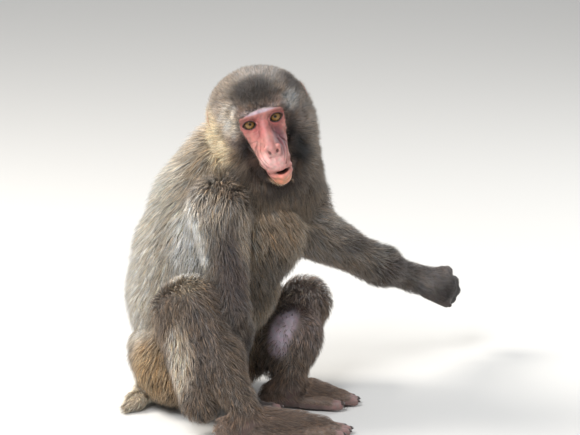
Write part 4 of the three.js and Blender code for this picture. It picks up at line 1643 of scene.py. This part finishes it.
class CoatMaker:
    """Grows the coat: thin solid tufts that follow the lie of the hair out to the solids' outline."""

    patch = 0.003  # side of each tuft's own square on the unwrap
    section = (0.58, 0.34)  # half breadth and half thickness of a tuft against its width
    slimmer = 0.86  # width at the bend against the root's
    # the dark roots are painted shade deep in the coat, the pale tips the hair's own banding
    shades = (0.6, 0.96, 1.28)  # tone of roots, bends and tips
    head_roots = 0.78  # tone of the roots on the head
    growth = Growth()  # how tufts grow and vary

    def __init__(self, body: Body, markings: Markings, survey: SkinSurvey) -> None:
        """Keep what the coat grows on and draw the fields that gather tufts into locks."""
        self.body = body
        self.markings = markings
        self.survey = survey
        self.locks = Ripple(21, 15.0, 3)
        self.streaks = Ripple(22, 8.0, 2)
        self.grain = Ripple(23, 3.4, 2, 16)
        self.draw = np.random.default_rng(7)

    def regions(self) -> Array:
        """The region of each triangle of the skin, as its place in the enumeration."""
        s = self.survey
        centre, normal = s.points[s.triangles].mean(axis=1), s.normals[s.triangles].mean(axis=1)
        names = self.body.name_of(s.part[s.triangles[:, 0]])
        order = {region: i for i, region in enumerate(CoatRegion)}
        chosen = np.full(len(centre), order[CoatRegion.NECK])
        local = self.body.frame.into(centre)
        for stem in ("head", "muzzle", "ear"):
            on = np.char.startswith(names, stem)
            chosen[on] = np.where(local[on, 0] > 0, order[CoatRegion.HEAD_LEFT], order[CoatRegion.HEAD_RIGHT])
        on = np.char.startswith(names, "trunk") | (names == "tail")
        back = np.where(centre[:, 0] > 0, order[CoatRegion.BACK_LEFT], order[CoatRegion.BACK_RIGHT])
        chosen[on] = np.where(normal[on, 1] < -0.2, order[CoatRegion.CHEST], back[on])
        for side in Side:
            arm, leg = CoatRegion[f"ARM_{side.name}"], CoatRegion[f"LEG_{side.name}"]
            limbs = (arm, ("upper_arm", "forearm", "hand")), (leg, ("thigh", "lower_leg", "foot"))
            for region, stems in limbs:
                chosen[np.isin(names, [f"{stem}_{side.word}" for stem in stems])] = order[region]
        return chosen

    def unwrap(self, triangles: Array) -> Array:
        """Unwrap a region of the skin by its own shape.

        Args:
            triangles: The region's triangles.

        Returns:
            The place on the unwrap of each triangle's three corners.
        """
        used, flat = np.unique(triangles, return_inverse=True)
        mesh = mesh_of("unwrap", self.survey.points[used], flat.reshape(-1, 3))
        sheet = bpy.data.objects.new("unwrap", mesh)
        bpy.context.scene.collection.objects.link(sheet)
        bpy.context.view_layer.objects.active = sheet
        sheet.select_set(True)
        mesh.uv_layers.new(name="flat")
        bpy.ops.object.mode_set(mode="EDIT")
        bpy.ops.mesh.select_all(action="SELECT")
        bpy.ops.uv.smart_project(angle_limit=math.radians(66), island_margin=0.004)
        bpy.ops.object.mode_set(mode="OBJECT")
        places = np.empty(len(mesh.loops) * 2, np.float32)
        mesh.uv_layers["flat"].data.foreach_get("uv", places)
        bpy.data.objects.remove(sheet)
        bpy.data.meshes.remove(mesh)
        return places.reshape(-1, 3, 2)

    def grow(self, triangles: Array, places: Array, most: int) -> Tufts:
        """Grow the tufts of one region.

        Args:
            triangles: The region's triangles.
            places: Their corners on the unwrap.
            most: Number of tufts.

        Returns:
            The tufts.
        """
        s, draw, rule = self.survey, self.draw, self.growth
        a, b, c = (s.points[triangles[:, i]] for i in range(3))
        area = lengths(np.cross(b - a, c - a)) / 2
        weight = area * (s.pelt[triangles, 0] * s.cover[triangles] ** rule.thinning).mean(axis=1)
        share = np.cumsum(weight) / weight.sum()
        picked = np.searchsorted(share, (np.arange(most) + draw.random(most)) / most)
        picked = np.minimum(picked, len(triangles) - 1)
        u, v = np.sqrt(draw.random(most)), draw.random(most)
        bary = np.stack([1 - u, u * (1 - v), u * v], axis=1)
        corner = triangles[picked]

        def at(values: Array) -> Array:
            """Values of the skin's points at the roots."""
            return (values[corner] * (bary if values.ndim == 1 else bary[:, :, None])).sum(axis=1)

        root, normal, depth = at(s.points), unit(at(s.normals)), at(s.depth)
        pelt, ground, cover = at(s.pelt), at(s.ground), at(s.cover)
        lean = self.locks(root) * rule.clump + draw.normal(size=(most, 3)) * pelt[:, 3:4]
        lie = unit(at(s.lie)) + lean
        lie = unit(lie - normal * (lie * normal).sum(axis=1, keepdims=True))
        full = rule.thin_length + (1.0 - rule.thin_length) * ramp(cover, 0.1, 0.9)
        long = draw.uniform(*rule.length, most) * full
        x, y, z = self.body.frame.into(root).T
        beside = (1.0 - ramp(y, -4.0, 78.0)) * ramp(60.0 - np.abs(x), -10.0, 10.0) * ramp(z, -105.0, -85.0)
        run = (rule.least_run + depth * pelt[:, 2]) * long * (1.0 - rule.flat_run * beside)
        rise = depth * (rule.rise[0] + rule.rise[1] * draw.random(most)) * (0.5 + 0.5 * long)
        up, on = rule.bend
        bend = root + normal * (rise * up)[:, None] + lie * (run * on)[:, None]
        tip = root + normal * rise[:, None] + lie * run[:, None]
        bend = self.comb(bend, rule.bend_inset * depth)
        astray = draw.random(most) < rule.strays
        stray, plain = draw.uniform(*rule.stray_inset, most), draw.uniform(*rule.tip_inset, most)
        tip = self.comb(tip, depth * np.where(astray, stray, plain))
        root = root - normal * rule.sunk
        for p in (bend, tip):
            p[:, 2] = np.maximum(p[:, 2], rule.off_floor[0] + rule.off_floor[1] * draw.random(most))
        root[:, 2] = np.maximum(root[:, 2], rule.root_height)
        colour = self.colours(root, lie, self.markings.coat(ground, bend * 0.5 + tip * 0.5))
        place = (places[picked] * bary[:, :, None]).sum(axis=1)
        full = rule.thin_breadth + (1.0 - rule.thin_breadth) * ramp(depth, 2.0, 12.0)
        width = pelt[:, 1] * draw.uniform(*rule.breadth, most) * full
        return Tufts(root, bend, tip, unit(np.cross(tip - root, normal)), width, colour, place)

    def colours(self, root: Array, lie: Array, ground: Array) -> Array:
        """Vary the coat's colour in streaks along the hair and from tuft to tuft.

        Args:
            root: Roots of the tufts.
            lie: The way each lies.
            ground: The coat's colour at each.

        Returns:
            Linear colours.
        """
        draw, rule, most = self.draw, self.growth, len(root)
        streak = self.streaks(root * vec((1.0, 1.0, 0.55)))
        grain = self.grain(root - lie * (root * lie).sum(axis=1, keepdims=True) * 0.6)
        broad, fine, chance = rule.shades
        tone = 1.0 + broad * streak[:, 0] + fine * grain[:, 0] + draw.normal(size=most) * chance
        odd = draw.random(most)
        tone = np.where(odd < rule.pale[0], tone * rule.pale[1], tone)
        tone = np.where(odd > rule.dark[0], tone * rule.dark[1], tone)
        warmer = streak[:, 1:2] + grain[:, 1:2] + draw.normal(size=(most, 1))
        warm = 1.0 + rule.warmth * warmer * vec((1.0, 0.1, -1.0))
        return np.clip(ground * warm * np.clip(tone, *rule.tones)[:, None], 0.004, 0.95)

    def comb(self, p: Array, inset: Array) -> Array:
        """Draw points that stand out of the coat's outline back to it, less an inset."""
        for _ in range(2):
            d, g = Body.slope(self.body.outline, p, 0.5)
            p = p - unit(g) * np.clip(d + inset, 0.0, Body.margin)[:, None]
        return p

    def mesh(self, name: str, tufts: Tufts) -> Mesh:
        """Make the closed mesh of a region's tufts, its colours and its patch of the unwrap for each.

        Args:
            name: The piece's name.
            tufts: The tufts.

        Returns:
            The mesh: seven points and ten triangles for each tuft.
        """
        n = len(tufts.root)
        first, second = unit(tufts.bend - tufts.root), unit(tufts.tip - tufts.bend)
        up_low, up_high = unit(np.cross(tufts.side, first)), unit(np.cross(tufts.side, second))
        points = np.empty((n, 7, 3))
        reach = tufts.width[:, None]
        for i, angle in enumerate(map(math.radians, (90, 210, 330))):
            across, lift = math.cos(angle) * self.section[0], math.sin(angle) * self.section[1]
            points[:, i] = tufts.root + (tufts.side * across + up_low * lift) * reach
            points[:, 3 + i] = tufts.bend + (tufts.side * across + up_high * lift) * reach * self.slimmer
        points[:, 6] = tufts.tip
        points[:, :, 2] = np.maximum(points[:, :, 2], 0.15)
        one = [(0, 2, 1)]
        for i in range(3):
            j = (i + 1) % 3
            one += [(i, j, 3 + j), (i, 3 + j, 3 + i), (3 + i, 3 + j, 6)]
        triangles = (np.arange(n)[:, None, None] * 7 + np.array(one)).reshape(-1, 3)
        mesh = mesh_of(name, points.reshape(-1, 3), triangles)
        # roots darkened as painted shade inside the coat, less so on the head; tips paler as the hair's own
        # banding
        roots, bends, tips = self.shades
        shade = vec([self.head_roots if "head" in name else roots] * 3 + [bends] * 3 + [tips])
        tint(mesh, np.clip(tufts.colour[:, None, :] * shade[:, None], 0.0, 0.97).reshape(-1, 3))
        half = self.patch / 2
        offset = np.array([(-1, -1), (0, -1), (1, -1), (-1, 0.2), (0, 0.2), (1, 0.2), (0, 1)]) * half
        spot = np.clip(tufts.place, half, 1 - half)[:, None, :] + offset
        uv = mesh.uv_layers.new(name="OFBake")
        uv.data.foreach_set("uv", spot.reshape(-1, 2)[triangles.ravel()].astype(np.float32).ravel())
        return mesh

    def make(self, material: bpy.types.Material) -> int:
        """Make every region's piece.

        Args:
            material: The coat's finish.

        Returns:
            Number of triangles in all.
        """
        chosen, total = self.regions(), 0
        for index, region in enumerate(CoatRegion):
            name, most = region.value
            triangles = self.survey.triangles[chosen == index]
            tufts = self.grow(triangles, self.unwrap(triangles), most)
            piece = put(self.mesh(name, tufts), material)
            total += len(piece.data.polygons)
            LOG.info("%s: %d tufts", name, most)
        return total


# ---- eyes and nails
@dataclass(frozen=True)
class Eyeball:
    """One eyeball with its cornea's bulge, amber iris and small pupil."""

    side: Side  # which eye
    gaze: Vec  # the way it looks, in the head's frame
    iris: float = 6.0  # radius of the iris in millimetres
    pupil: float = 1.35  # radius of the pupil in millimetres
    bulge: float = 0.8  # how far the cornea stands off the ball
    rings: int = 44  # rings of points over the cornea
    spokes: int = 72  # points in each ring

    def mesh(self, body: Body) -> Mesh:
        """Make the eyeball.

        Args:
            body: The body whose face it sits in.

        Returns:
            Its closed mesh with its colours.
        """
        face, frame = body.face, body.frame
        centre, radius = frame.out(face.eye_at(self.side.value)), face.eye_radius
        ahead = frame.way(self.gaze)
        across = unit(np.cross(ahead, frame.way(UP)))
        upward = np.cross(across, ahead)
        rim = math.asin(self.iris / radius)
        hole = math.asin(self.pupil / radius)
        front, rest = np.linspace(0, rim * 1.25, self.rings)[1:], np.linspace(rim * 1.35, math.pi * 0.97, 16)
        angles = np.concatenate([front, rest])
        around = np.linspace(0, 2 * math.pi, self.spokes, endpoint=False)
        points, colours = [centre + ahead * (radius + self.bulge)], [srgb(6, 5, 5)]
        for angle in angles:
            reach = radius + self.bulge * (1.0 - ramp(angle, rim * 0.2, rim * 1.12))
            flat = math.cos(angle) * ahead + math.sin(angle) * (
                np.cos(around)[:, None] * across + np.sin(around)[:, None] * upward
            )
            points += list(centre + flat * reach)
            colours += list(self.colours(angle / rim, hole / rim, around))
        points.append(centre - ahead * radius)
        colours.append(srgb(120, 90, 80))
        k, rows = self.spokes, len(angles)
        triangles = [(0, 1 + i, 1 + (i + 1) % k) for i in range(k)]
        for r in range(rows - 1):
            for i in range(k):
                a, b = 1 + r * k + i, 1 + r * k + (i + 1) % k
                triangles += [(a, a + k, b + k), (a, b + k, b)]
        last = len(points) - 1
        triangles += [(last, last - k + (i + 1) % k, last - k + i) for i in range(k)]
        mesh = mesh_of(f"eyeball_{self.side.word}", np.array(points), np.array(triangles))
        tint(mesh, np.array(colours))
        return mesh

    def colours(self, share: float, hole: float, around: Array) -> Array:
        """Colours round one ring.

        Args:
            share: The ring's angle against the iris's edge.
            hole: The pupil's edge on the same scale.
            around: Angles of the ring's points.

        Returns:
            Linear colours.
        """
        waves = ((17, 1.3, 0.5), (31, share * 4, 0.3), (7, 0.0, 0.2))
        streak = sum(np.sin(around * count + shift) * strength for count, shift, strength in waves)
        # painted light: the amber is lighter towards the iris's lower half, the upper half left in the lid's
        # shade
        low = ramp(-np.sin(around), -0.8, 1.0)[:, None]
        amber = mix(srgb(104, 76, 40), srgb(158, 122, 70), low * 0.5) * (1.0 + 0.16 * streak[:, None])
        inner = 1.0 - ramp(share, hole, hole + 0.22)
        outer = ramp(share, 0.72, 0.98)
        colour = amber * (1.0 - inner * 0.55) * (1.0 - outer * 0.72)
        colour = mix(colour, srgb(7, 6, 6), 1.0 - ramp(share, hole - 0.03, hole + 0.05))
        return np.clip(mix(colour, srgb(88, 62, 50), ramp(share, 0.99, 1.12)), 0.0, 1.0)


@dataclass(frozen=True)
class NailSet:
    """Dark curved nails on fingers and toes."""

    length: float = 0.86  # length over the radius of the tip
    breadth: float = 0.66  # half width over the radius of the tip
    height: float = 0.36  # half thickness over the radius of the tip
    seat: Pair = (0.55, 0.62)  # its middle, before the tip's centre and over it, against that radius
    arch: Pair = (0.42, 0.3)  # how strongly it curves down across and along
    rows: int = 9  # rows of faces from end to end
    spokes: int = 14  # points in each ring

    def mesh(self, beds: Sequence[NailBed]) -> Mesh:
        """Make every nail as one mesh.

        Args:
            beds: Where the nails sit.

        Returns:
            The mesh with its colours.
        """
        rows, spokes = self.rows, self.spokes
        points, triangles, colours = [], [], []
        for bed in beds:
            along, back = unit(bed.along), unit(bed.back - bed.along * float(bed.back @ bed.along))
            across = np.cross(along, back)
            centre = bed.tip + along * (bed.radius * self.seat[0]) + back * (bed.radius * self.seat[1])
            first = len(points)
            for r in range(rows + 1):
                polar = math.pi * r / rows
                for i in range(spokes):
                    turn = 2 * math.pi * i / spokes
                    x = math.sin(polar) * math.cos(turn) * self.breadth
                    y = math.cos(polar) * self.length
                    z = math.sin(polar) * math.sin(turn) * self.height
                    z -= self.arch[0] * x * x + self.arch[1] * max(y, 0) ** 2
                    p = centre + (across * x + along * y + back * z) * bed.radius
                    points.append(np.maximum(p, (-FAR, -FAR, 0.3)))
                    colours.append(srgb(58, 46, 42) * (0.7 + 0.5 * (y + 1) / 2))
            for r in range(rows):
                for i in range(spokes):
                    a, b = first + r * spokes + i, first + r * spokes + (i + 1) % spokes
                    triangles += [(a, b, b + spokes), (a, b + spokes, a + spokes)]
        mesh = mesh_of("nails", np.array(points), np.array(triangles))
        with opened(mesh) as bm:
            bmesh.ops.remove_doubles(bm, verts=bm.verts, dist=1e-6)
            bmesh.ops.recalc_face_normals(bm, faces=bm.faces)
        kept = SkinMaker.points(mesh) / MM
        every = np.array(points)
        nearest = [int(np.argmin(((every - p) ** 2).sum(axis=1))) for p in kept]
        tint(mesh, np.array(colours)[nearest])
        return mesh


# ---- finishes
class Graph:
    """A node tree with short calls to add and join nodes."""

    def __init__(self, tree: bpy.types.NodeTree) -> None:
        """Keep the tree."""
        self.tree = tree

    @staticmethod
    def preset(node: bpy.types.Node, inputs: dict) -> None:
        """Set the defaults of a node's inputs, by name or number."""
        for name, value in inputs.items():
            node.inputs[name].default_value = value

    def add(self, kind: str, inputs: dict | None = None, **values: object) -> bpy.types.Node:
        """Add a node and set its own values, such as its operation, and the defaults of its inputs."""
        node = self.tree.nodes.new(kind)
        for name, value in values.items():
            setattr(node, name, value)
        self.preset(node, inputs or {})
        return node

    def join(self, source: bpy.types.NodeSocket, target: bpy.types.NodeSocket) -> None:
        """Join two sockets."""
        self.tree.links.new(source, target)


def socket(tree: bpy.types.NodeTree, name: str, kind: str, way: str, value: float | None = None) -> None:
    """Give a node group an input or output.

    Args:
        tree: The group.
        name: The socket's name.
        kind: Its type, such as Float.
        way: INPUT or OUTPUT.
        value: Its default.
    """
    made = tree.interface.new_socket(name, in_out=way, socket_type=f"NodeSocket{kind}")
    if value is not None:
        made.default_value = value


def mottling() -> bpy.types.NodeTree:
    """Group that varies a colour in soft flecks of two sizes and gives their height."""
    tree = bpy.data.node_groups.new("mottling", "ShaderNodeTree")
    socket(tree, "Colour", "Color", "INPUT")
    socket(tree, "Scale", "Float", "INPUT", 300.0)
    socket(tree, "Amount", "Float", "INPUT", 0.2)
    socket(tree, "Colour", "Color", "OUTPUT")
    socket(tree, "Height", "Float", "OUTPUT")
    g = Graph(tree)
    start, end = g.add("NodeGroupInput"), g.add("NodeGroupOutput")
    place = g.add("ShaderNodeTexCoord")
    noise = g.add("ShaderNodeTexNoise", {"Detail": 5.0, "Roughness": 0.62})
    g.join(place.outputs["Object"], noise.inputs["Vector"])
    g.join(start.outputs["Scale"], noise.inputs["Scale"])
    centred = g.add("ShaderNodeMath", {1: 0.5}, operation="SUBTRACT")
    g.join(noise.outputs["Fac"], centred.inputs[0])
    scaled = g.add("ShaderNodeMath", {2: 1.0}, operation="MULTIPLY_ADD")
    g.join(centred.outputs[0], scaled.inputs[0])
    g.join(start.outputs["Amount"], scaled.inputs[1])
    product = g.add("ShaderNodeVectorMath", operation="SCALE")
    g.join(start.outputs["Colour"], product.inputs[0])
    g.join(scaled.outputs[0], product.inputs["Scale"])
    g.join(product.outputs[0], end.inputs["Colour"])
    g.join(noise.outputs["Fac"], end.inputs["Height"])
    return tree


def pores() -> bpy.types.NodeTree:
    """Group that gives the height of fine cells, as of skin or horn."""
    tree = bpy.data.node_groups.new("pores", "ShaderNodeTree")
    socket(tree, "Scale", "Float", "INPUT", 900.0)
    socket(tree, "Height", "Float", "OUTPUT")
    g = Graph(tree)
    start, end = g.add("NodeGroupInput"), g.add("NodeGroupOutput")
    place = g.add("ShaderNodeTexCoord")
    cells = g.add("ShaderNodeTexVoronoi", feature="SMOOTH_F1")
    g.join(place.outputs["Object"], cells.inputs["Vector"])
    g.join(start.outputs["Scale"], cells.inputs["Scale"])
    g.join(cells.outputs["Distance"], end.inputs["Height"])
    return tree


@dataclass(frozen=True)
class Finish:
    """A finish that takes its colour from the mesh and varies it finely."""

    name: str  # the material's name
    roughness: float  # roughness of the surface
    specular: float  # strength of its plain reflection
    flecks: float  # scale of the mottling for each metre
    variety: float  # strength of the mottling
    relief: float = 0.0  # strength of the bump, 0 for none
    depth: float = 0.0004  # height of the bump in metres
    pore_scale: float = 900.0  # scale of the fine cells for each metre
    coat: float = 0.0  # weight of a clear wet film over it
    sheen: float = 0.0  # weight of the soft sheen
    subsurface: float = 0.0  # weight of the light that passes under the surface

    def material(self, mottle: bpy.types.NodeTree, pore: bpy.types.NodeTree) -> bpy.types.Material:
        """Build the material.

        Args:
            mottle: The mottling group.
            pore: The group of fine cells.

        Returns:
            The material.
        """
        made = bpy.data.materials.new(self.name)
        made.use_nodes = True
        g = Graph(made.node_tree)
        shader = made.node_tree.nodes["Principled BSDF"]
        g.preset(shader, {
            "Roughness": self.roughness,
            "Specular IOR Level": self.specular,
            "Coat Weight": self.coat,
            "Coat Roughness": 0.04,
            "Sheen Weight": self.sheen,
            "Sheen Roughness": 0.5,
            "Subsurface Weight": self.subsurface,
            "Subsurface Radius": (1.0, 0.35, 0.25),
            "Subsurface Scale": 0.002,
        })
        tone = g.add("ShaderNodeVertexColor", layer_name="tone")
        varied = g.add("ShaderNodeGroup", {"Scale": self.flecks, "Amount": self.variety}, node_tree=mottle)
        g.join(tone.outputs["Color"], varied.inputs["Colour"])
        g.join(varied.outputs["Colour"], shader.inputs["Base Color"])
        if self.relief:
            fine = g.add("ShaderNodeGroup", {"Scale": self.pore_scale}, node_tree=pore)
            total = g.add("ShaderNodeMath", {1: 0.6}, operation="MULTIPLY_ADD")
            g.join(fine.outputs["Height"], total.inputs[0])
            g.join(varied.outputs["Height"], total.inputs[2])
            bump = g.add("ShaderNodeBump", {"Strength": self.relief, "Distance": self.depth})
            g.join(total.outputs[0], bump.inputs["Height"])
            g.join(bump.outputs["Normal"], shader.inputs["Normal"])
        return made


SKIN = Finish("bare_skin", 0.5, 0.42, 420.0, 0.3, 0.55, 0.0005, 1100.0, sheen=0.04, subsurface=0.12)
COAT = Finish("coat_hair", 0.62, 0.3, 260.0, 0.35, sheen=0.12)
EYE = Finish("wet_eye", 0.2, 0.25, 2400.0, 0.35, coat=0.4)
HORN = Finish("nail_horn", 0.34, 0.5, 900.0, 0.3, 0.25, 0.0002, 1600.0)


# ---- studio
@dataclass(frozen=True)
class Lamp:
    """A soft square light aimed at the middle of the animal."""

    name: str  # its name
    at: Vec  # its place in metres
    size: float  # side of the square in metres
    power: float  # its power in watts
    colour: Vec = (1.0, 1.0, 1.0)  # its colour

    def place(self, target: Array) -> None:
        """Put the light in the scene, aimed at a target in metres."""
        light = bpy.data.lights.new(self.name, "AREA")
        light.energy, light.size, light.color = self.power, self.size, self.colour
        holder = bpy.data.objects.new(self.name, light)
        holder.location = self.at
        holder.rotation_euler = Vector(target - vec(self.at)).to_track_quat("-Z", "Y").to_euler()
        bpy.context.scene.collection.objects.link(holder)


@dataclass(frozen=True)
class Studio:
    """Plain pale floor, soft light and the camera."""

    azimuth: float = -60.0  # the camera's angle about +Z from -Y, in degrees
    elevation: float = 14.0  # its angle above the floor
    distance: float = 5.0  # metres from the target
    target: Vec = (109.0, -78.5, 221.3)  # the point at the picture's middle, in millimetres
    field_pixels: float = 4000.0  # focal length in pixels of a picture as wide as picture_width
    picture_width: float = 580.0  # width of that picture
    sensor: float = 36.0  # width of the camera's sensor in millimetres
    floor_half: float = 6.0  # half the floor's side in metres
    lit: Vec = (60.0, -60.0, 230.0)  # the point that the lamps are aimed at, in millimetres

    def axes(self) -> tuple[Array, Array, Array]:
        """The camera's right, up and backward directions."""
        a, e = math.radians(self.azimuth), math.radians(self.elevation)
        back = vec((math.sin(a) * math.cos(e), -math.cos(a) * math.cos(e), math.sin(e)))
        right = vec((math.cos(a), math.sin(a), 0.0))
        return right, np.cross(back, right), back

    def camera(self) -> None:
        """Set the camera."""
        right, up, back = self.axes()
        lens = bpy.data.cameras.new("camera")
        lens.sensor_width = self.sensor
        lens.lens = self.sensor * self.field_pixels / self.picture_width
        lens.clip_end = 50.0
        holder = bpy.data.objects.new("camera", lens)
        place = vec(self.target) * MM + back * self.distance
        turn = Matrix([list(row) for row in np.stack([right, up, back], axis=1)]).to_4x4()
        holder.matrix_world = Matrix.Translation(Vector(place)) @ turn
        bpy.context.scene.collection.objects.link(holder)
        bpy.context.scene.camera = holder

    def floor(self) -> None:
        """Lay the plain floor."""
        mesh = bpy.data.meshes.new("floor")
        r = self.floor_half
        mesh.from_pydata([(-r, -r, 0), (r, -r, 0), (r, r, 0), (-r, r, 0)], [], [(0, 1, 2, 3)])
        piece = bpy.data.objects.new("floor", mesh)
        bpy.context.scene.collection.objects.link(piece)
        pale = bpy.data.materials.new("pale_floor")
        pale.use_nodes = True
        shader = pale.node_tree.nodes["Principled BSDF"]
        Graph.preset(shader, {"Base Color": (0.62, 0.61, 0.59, 1.0), "Roughness": 0.85})
        mesh.materials.append(pale)

    def lights(self) -> None:
        """Set a warm key from the camera's left, a front fill, a weak rim from beyond and a pale surround."""
        right, _, back = self.axes()
        middle = vec(self.lit) * MM
        for name, (beside, nearer, over), size, power, colour in (
            ("key", (-1.5, -0.1, 1.5), 0.9, 62.0, (1.0, 0.96, 0.9)),
            ("front", (-0.8, 1.8, 1.5), 1.0, 62.0, (0.97, 0.98, 1.0)),
            ("far_rim", (1.6, -0.9, 1.0), 0.8, 16.0, (0.95, 0.98, 1.0)),
        ):
            at = middle + right * beside + back * nearer + UP * over
            Lamp(name, tuple(at), size, power, colour).place(middle)
        world = bpy.data.worlds.new("surround")
        world.use_nodes = True
        light = world.node_tree.nodes["Background"]
        Graph.preset(light, {"Color": (0.86, 0.88, 0.9, 1.0), "Strength": 0.6})
        bpy.context.scene.world = world
        bpy.context.scene.view_settings.view_transform = "Standard"


# ---- the model
class Macaque:
    """The dressed animal: skin, coat, eyes and nails."""

    def __init__(self, frame: dict) -> None:
        """Set up the body and the finishes.
        """
        self.frame = frame
        self.body = Body(Anatomy())
        self.markings = Markings(self.body)
        mottle, pore = mottling(), pores()
        self.finishes = {f.name: f.material(mottle, pore) for f in (SKIN, COAT, EYE, HORN)}

    def skin(self) -> SkinSurvey:
        """Make the skin and measure it for the coat."""
        mesh, normals = SkinMaker(self.body).make()
        survey = Surveyor(self.body, self.markings).survey(mesh, normals)
        tone = self.markings.coat(survey.ground, survey.points)
        colours = self.markings.skin(survey.points, normals, survey.part, tone, survey.cover)
        bpy.data.meshes.remove(mesh)
        made = mesh_of("macaque_skin", survey.points, survey.triangles)
        tint(made, colours)
        piece = put(made, self.finishes["bare_skin"])
        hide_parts(*[name for name in self.frame["nodes"] if not name.startswith("eye")])
        LOG.info("skin: %d triangles", len(made.polygons))
        return survey

    def eyes(self) -> None:
        """Make both eyes, which look at the viewer."""
        for side, gaze in ((Side.LEFT, (-0.12, -0.98, 0.13)), (Side.RIGHT, (0.11, -0.98, 0.13))):
            piece = put(Eyeball(side, gaze).mesh(self.body), self.finishes["wet_eye"])
            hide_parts(f"eye_{side.word}")
            LOG.info("%s: %d triangles", piece.name, len(piece.data.polygons))

    def nails(self) -> None:
        """Make the nails."""
        piece = put(NailSet().mesh(self.body.anatomy.nails), self.finishes["nail_horn"])
        LOG.info("%s: %d triangles", piece.name, len(piece.data.polygons))

    def coat(self, survey: SkinSurvey) -> None:
        """Grow the coat on the skin."""
        total = CoatMaker(self.body, self.markings, survey).make(self.finishes["coat_hair"])
        LOG.info("coat: %d triangles", total)


def main() -> None:
    """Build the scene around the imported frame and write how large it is."""
    logging.basicConfig(level=logging.INFO, format="%(name)s: %(message)s")
    began = time.time()
    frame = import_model()
    studio = Studio()
    studio.camera()
    studio.floor()
    studio.lights()
    animal = Macaque(frame)
    survey = animal.skin()
    animal.eyes()
    animal.nails()
    animal.coat(survey)
    bpy.context.view_layer.update()
    LOG.info("built in %.0f s", time.time() - began)


if __name__ == "__main__":
    main()
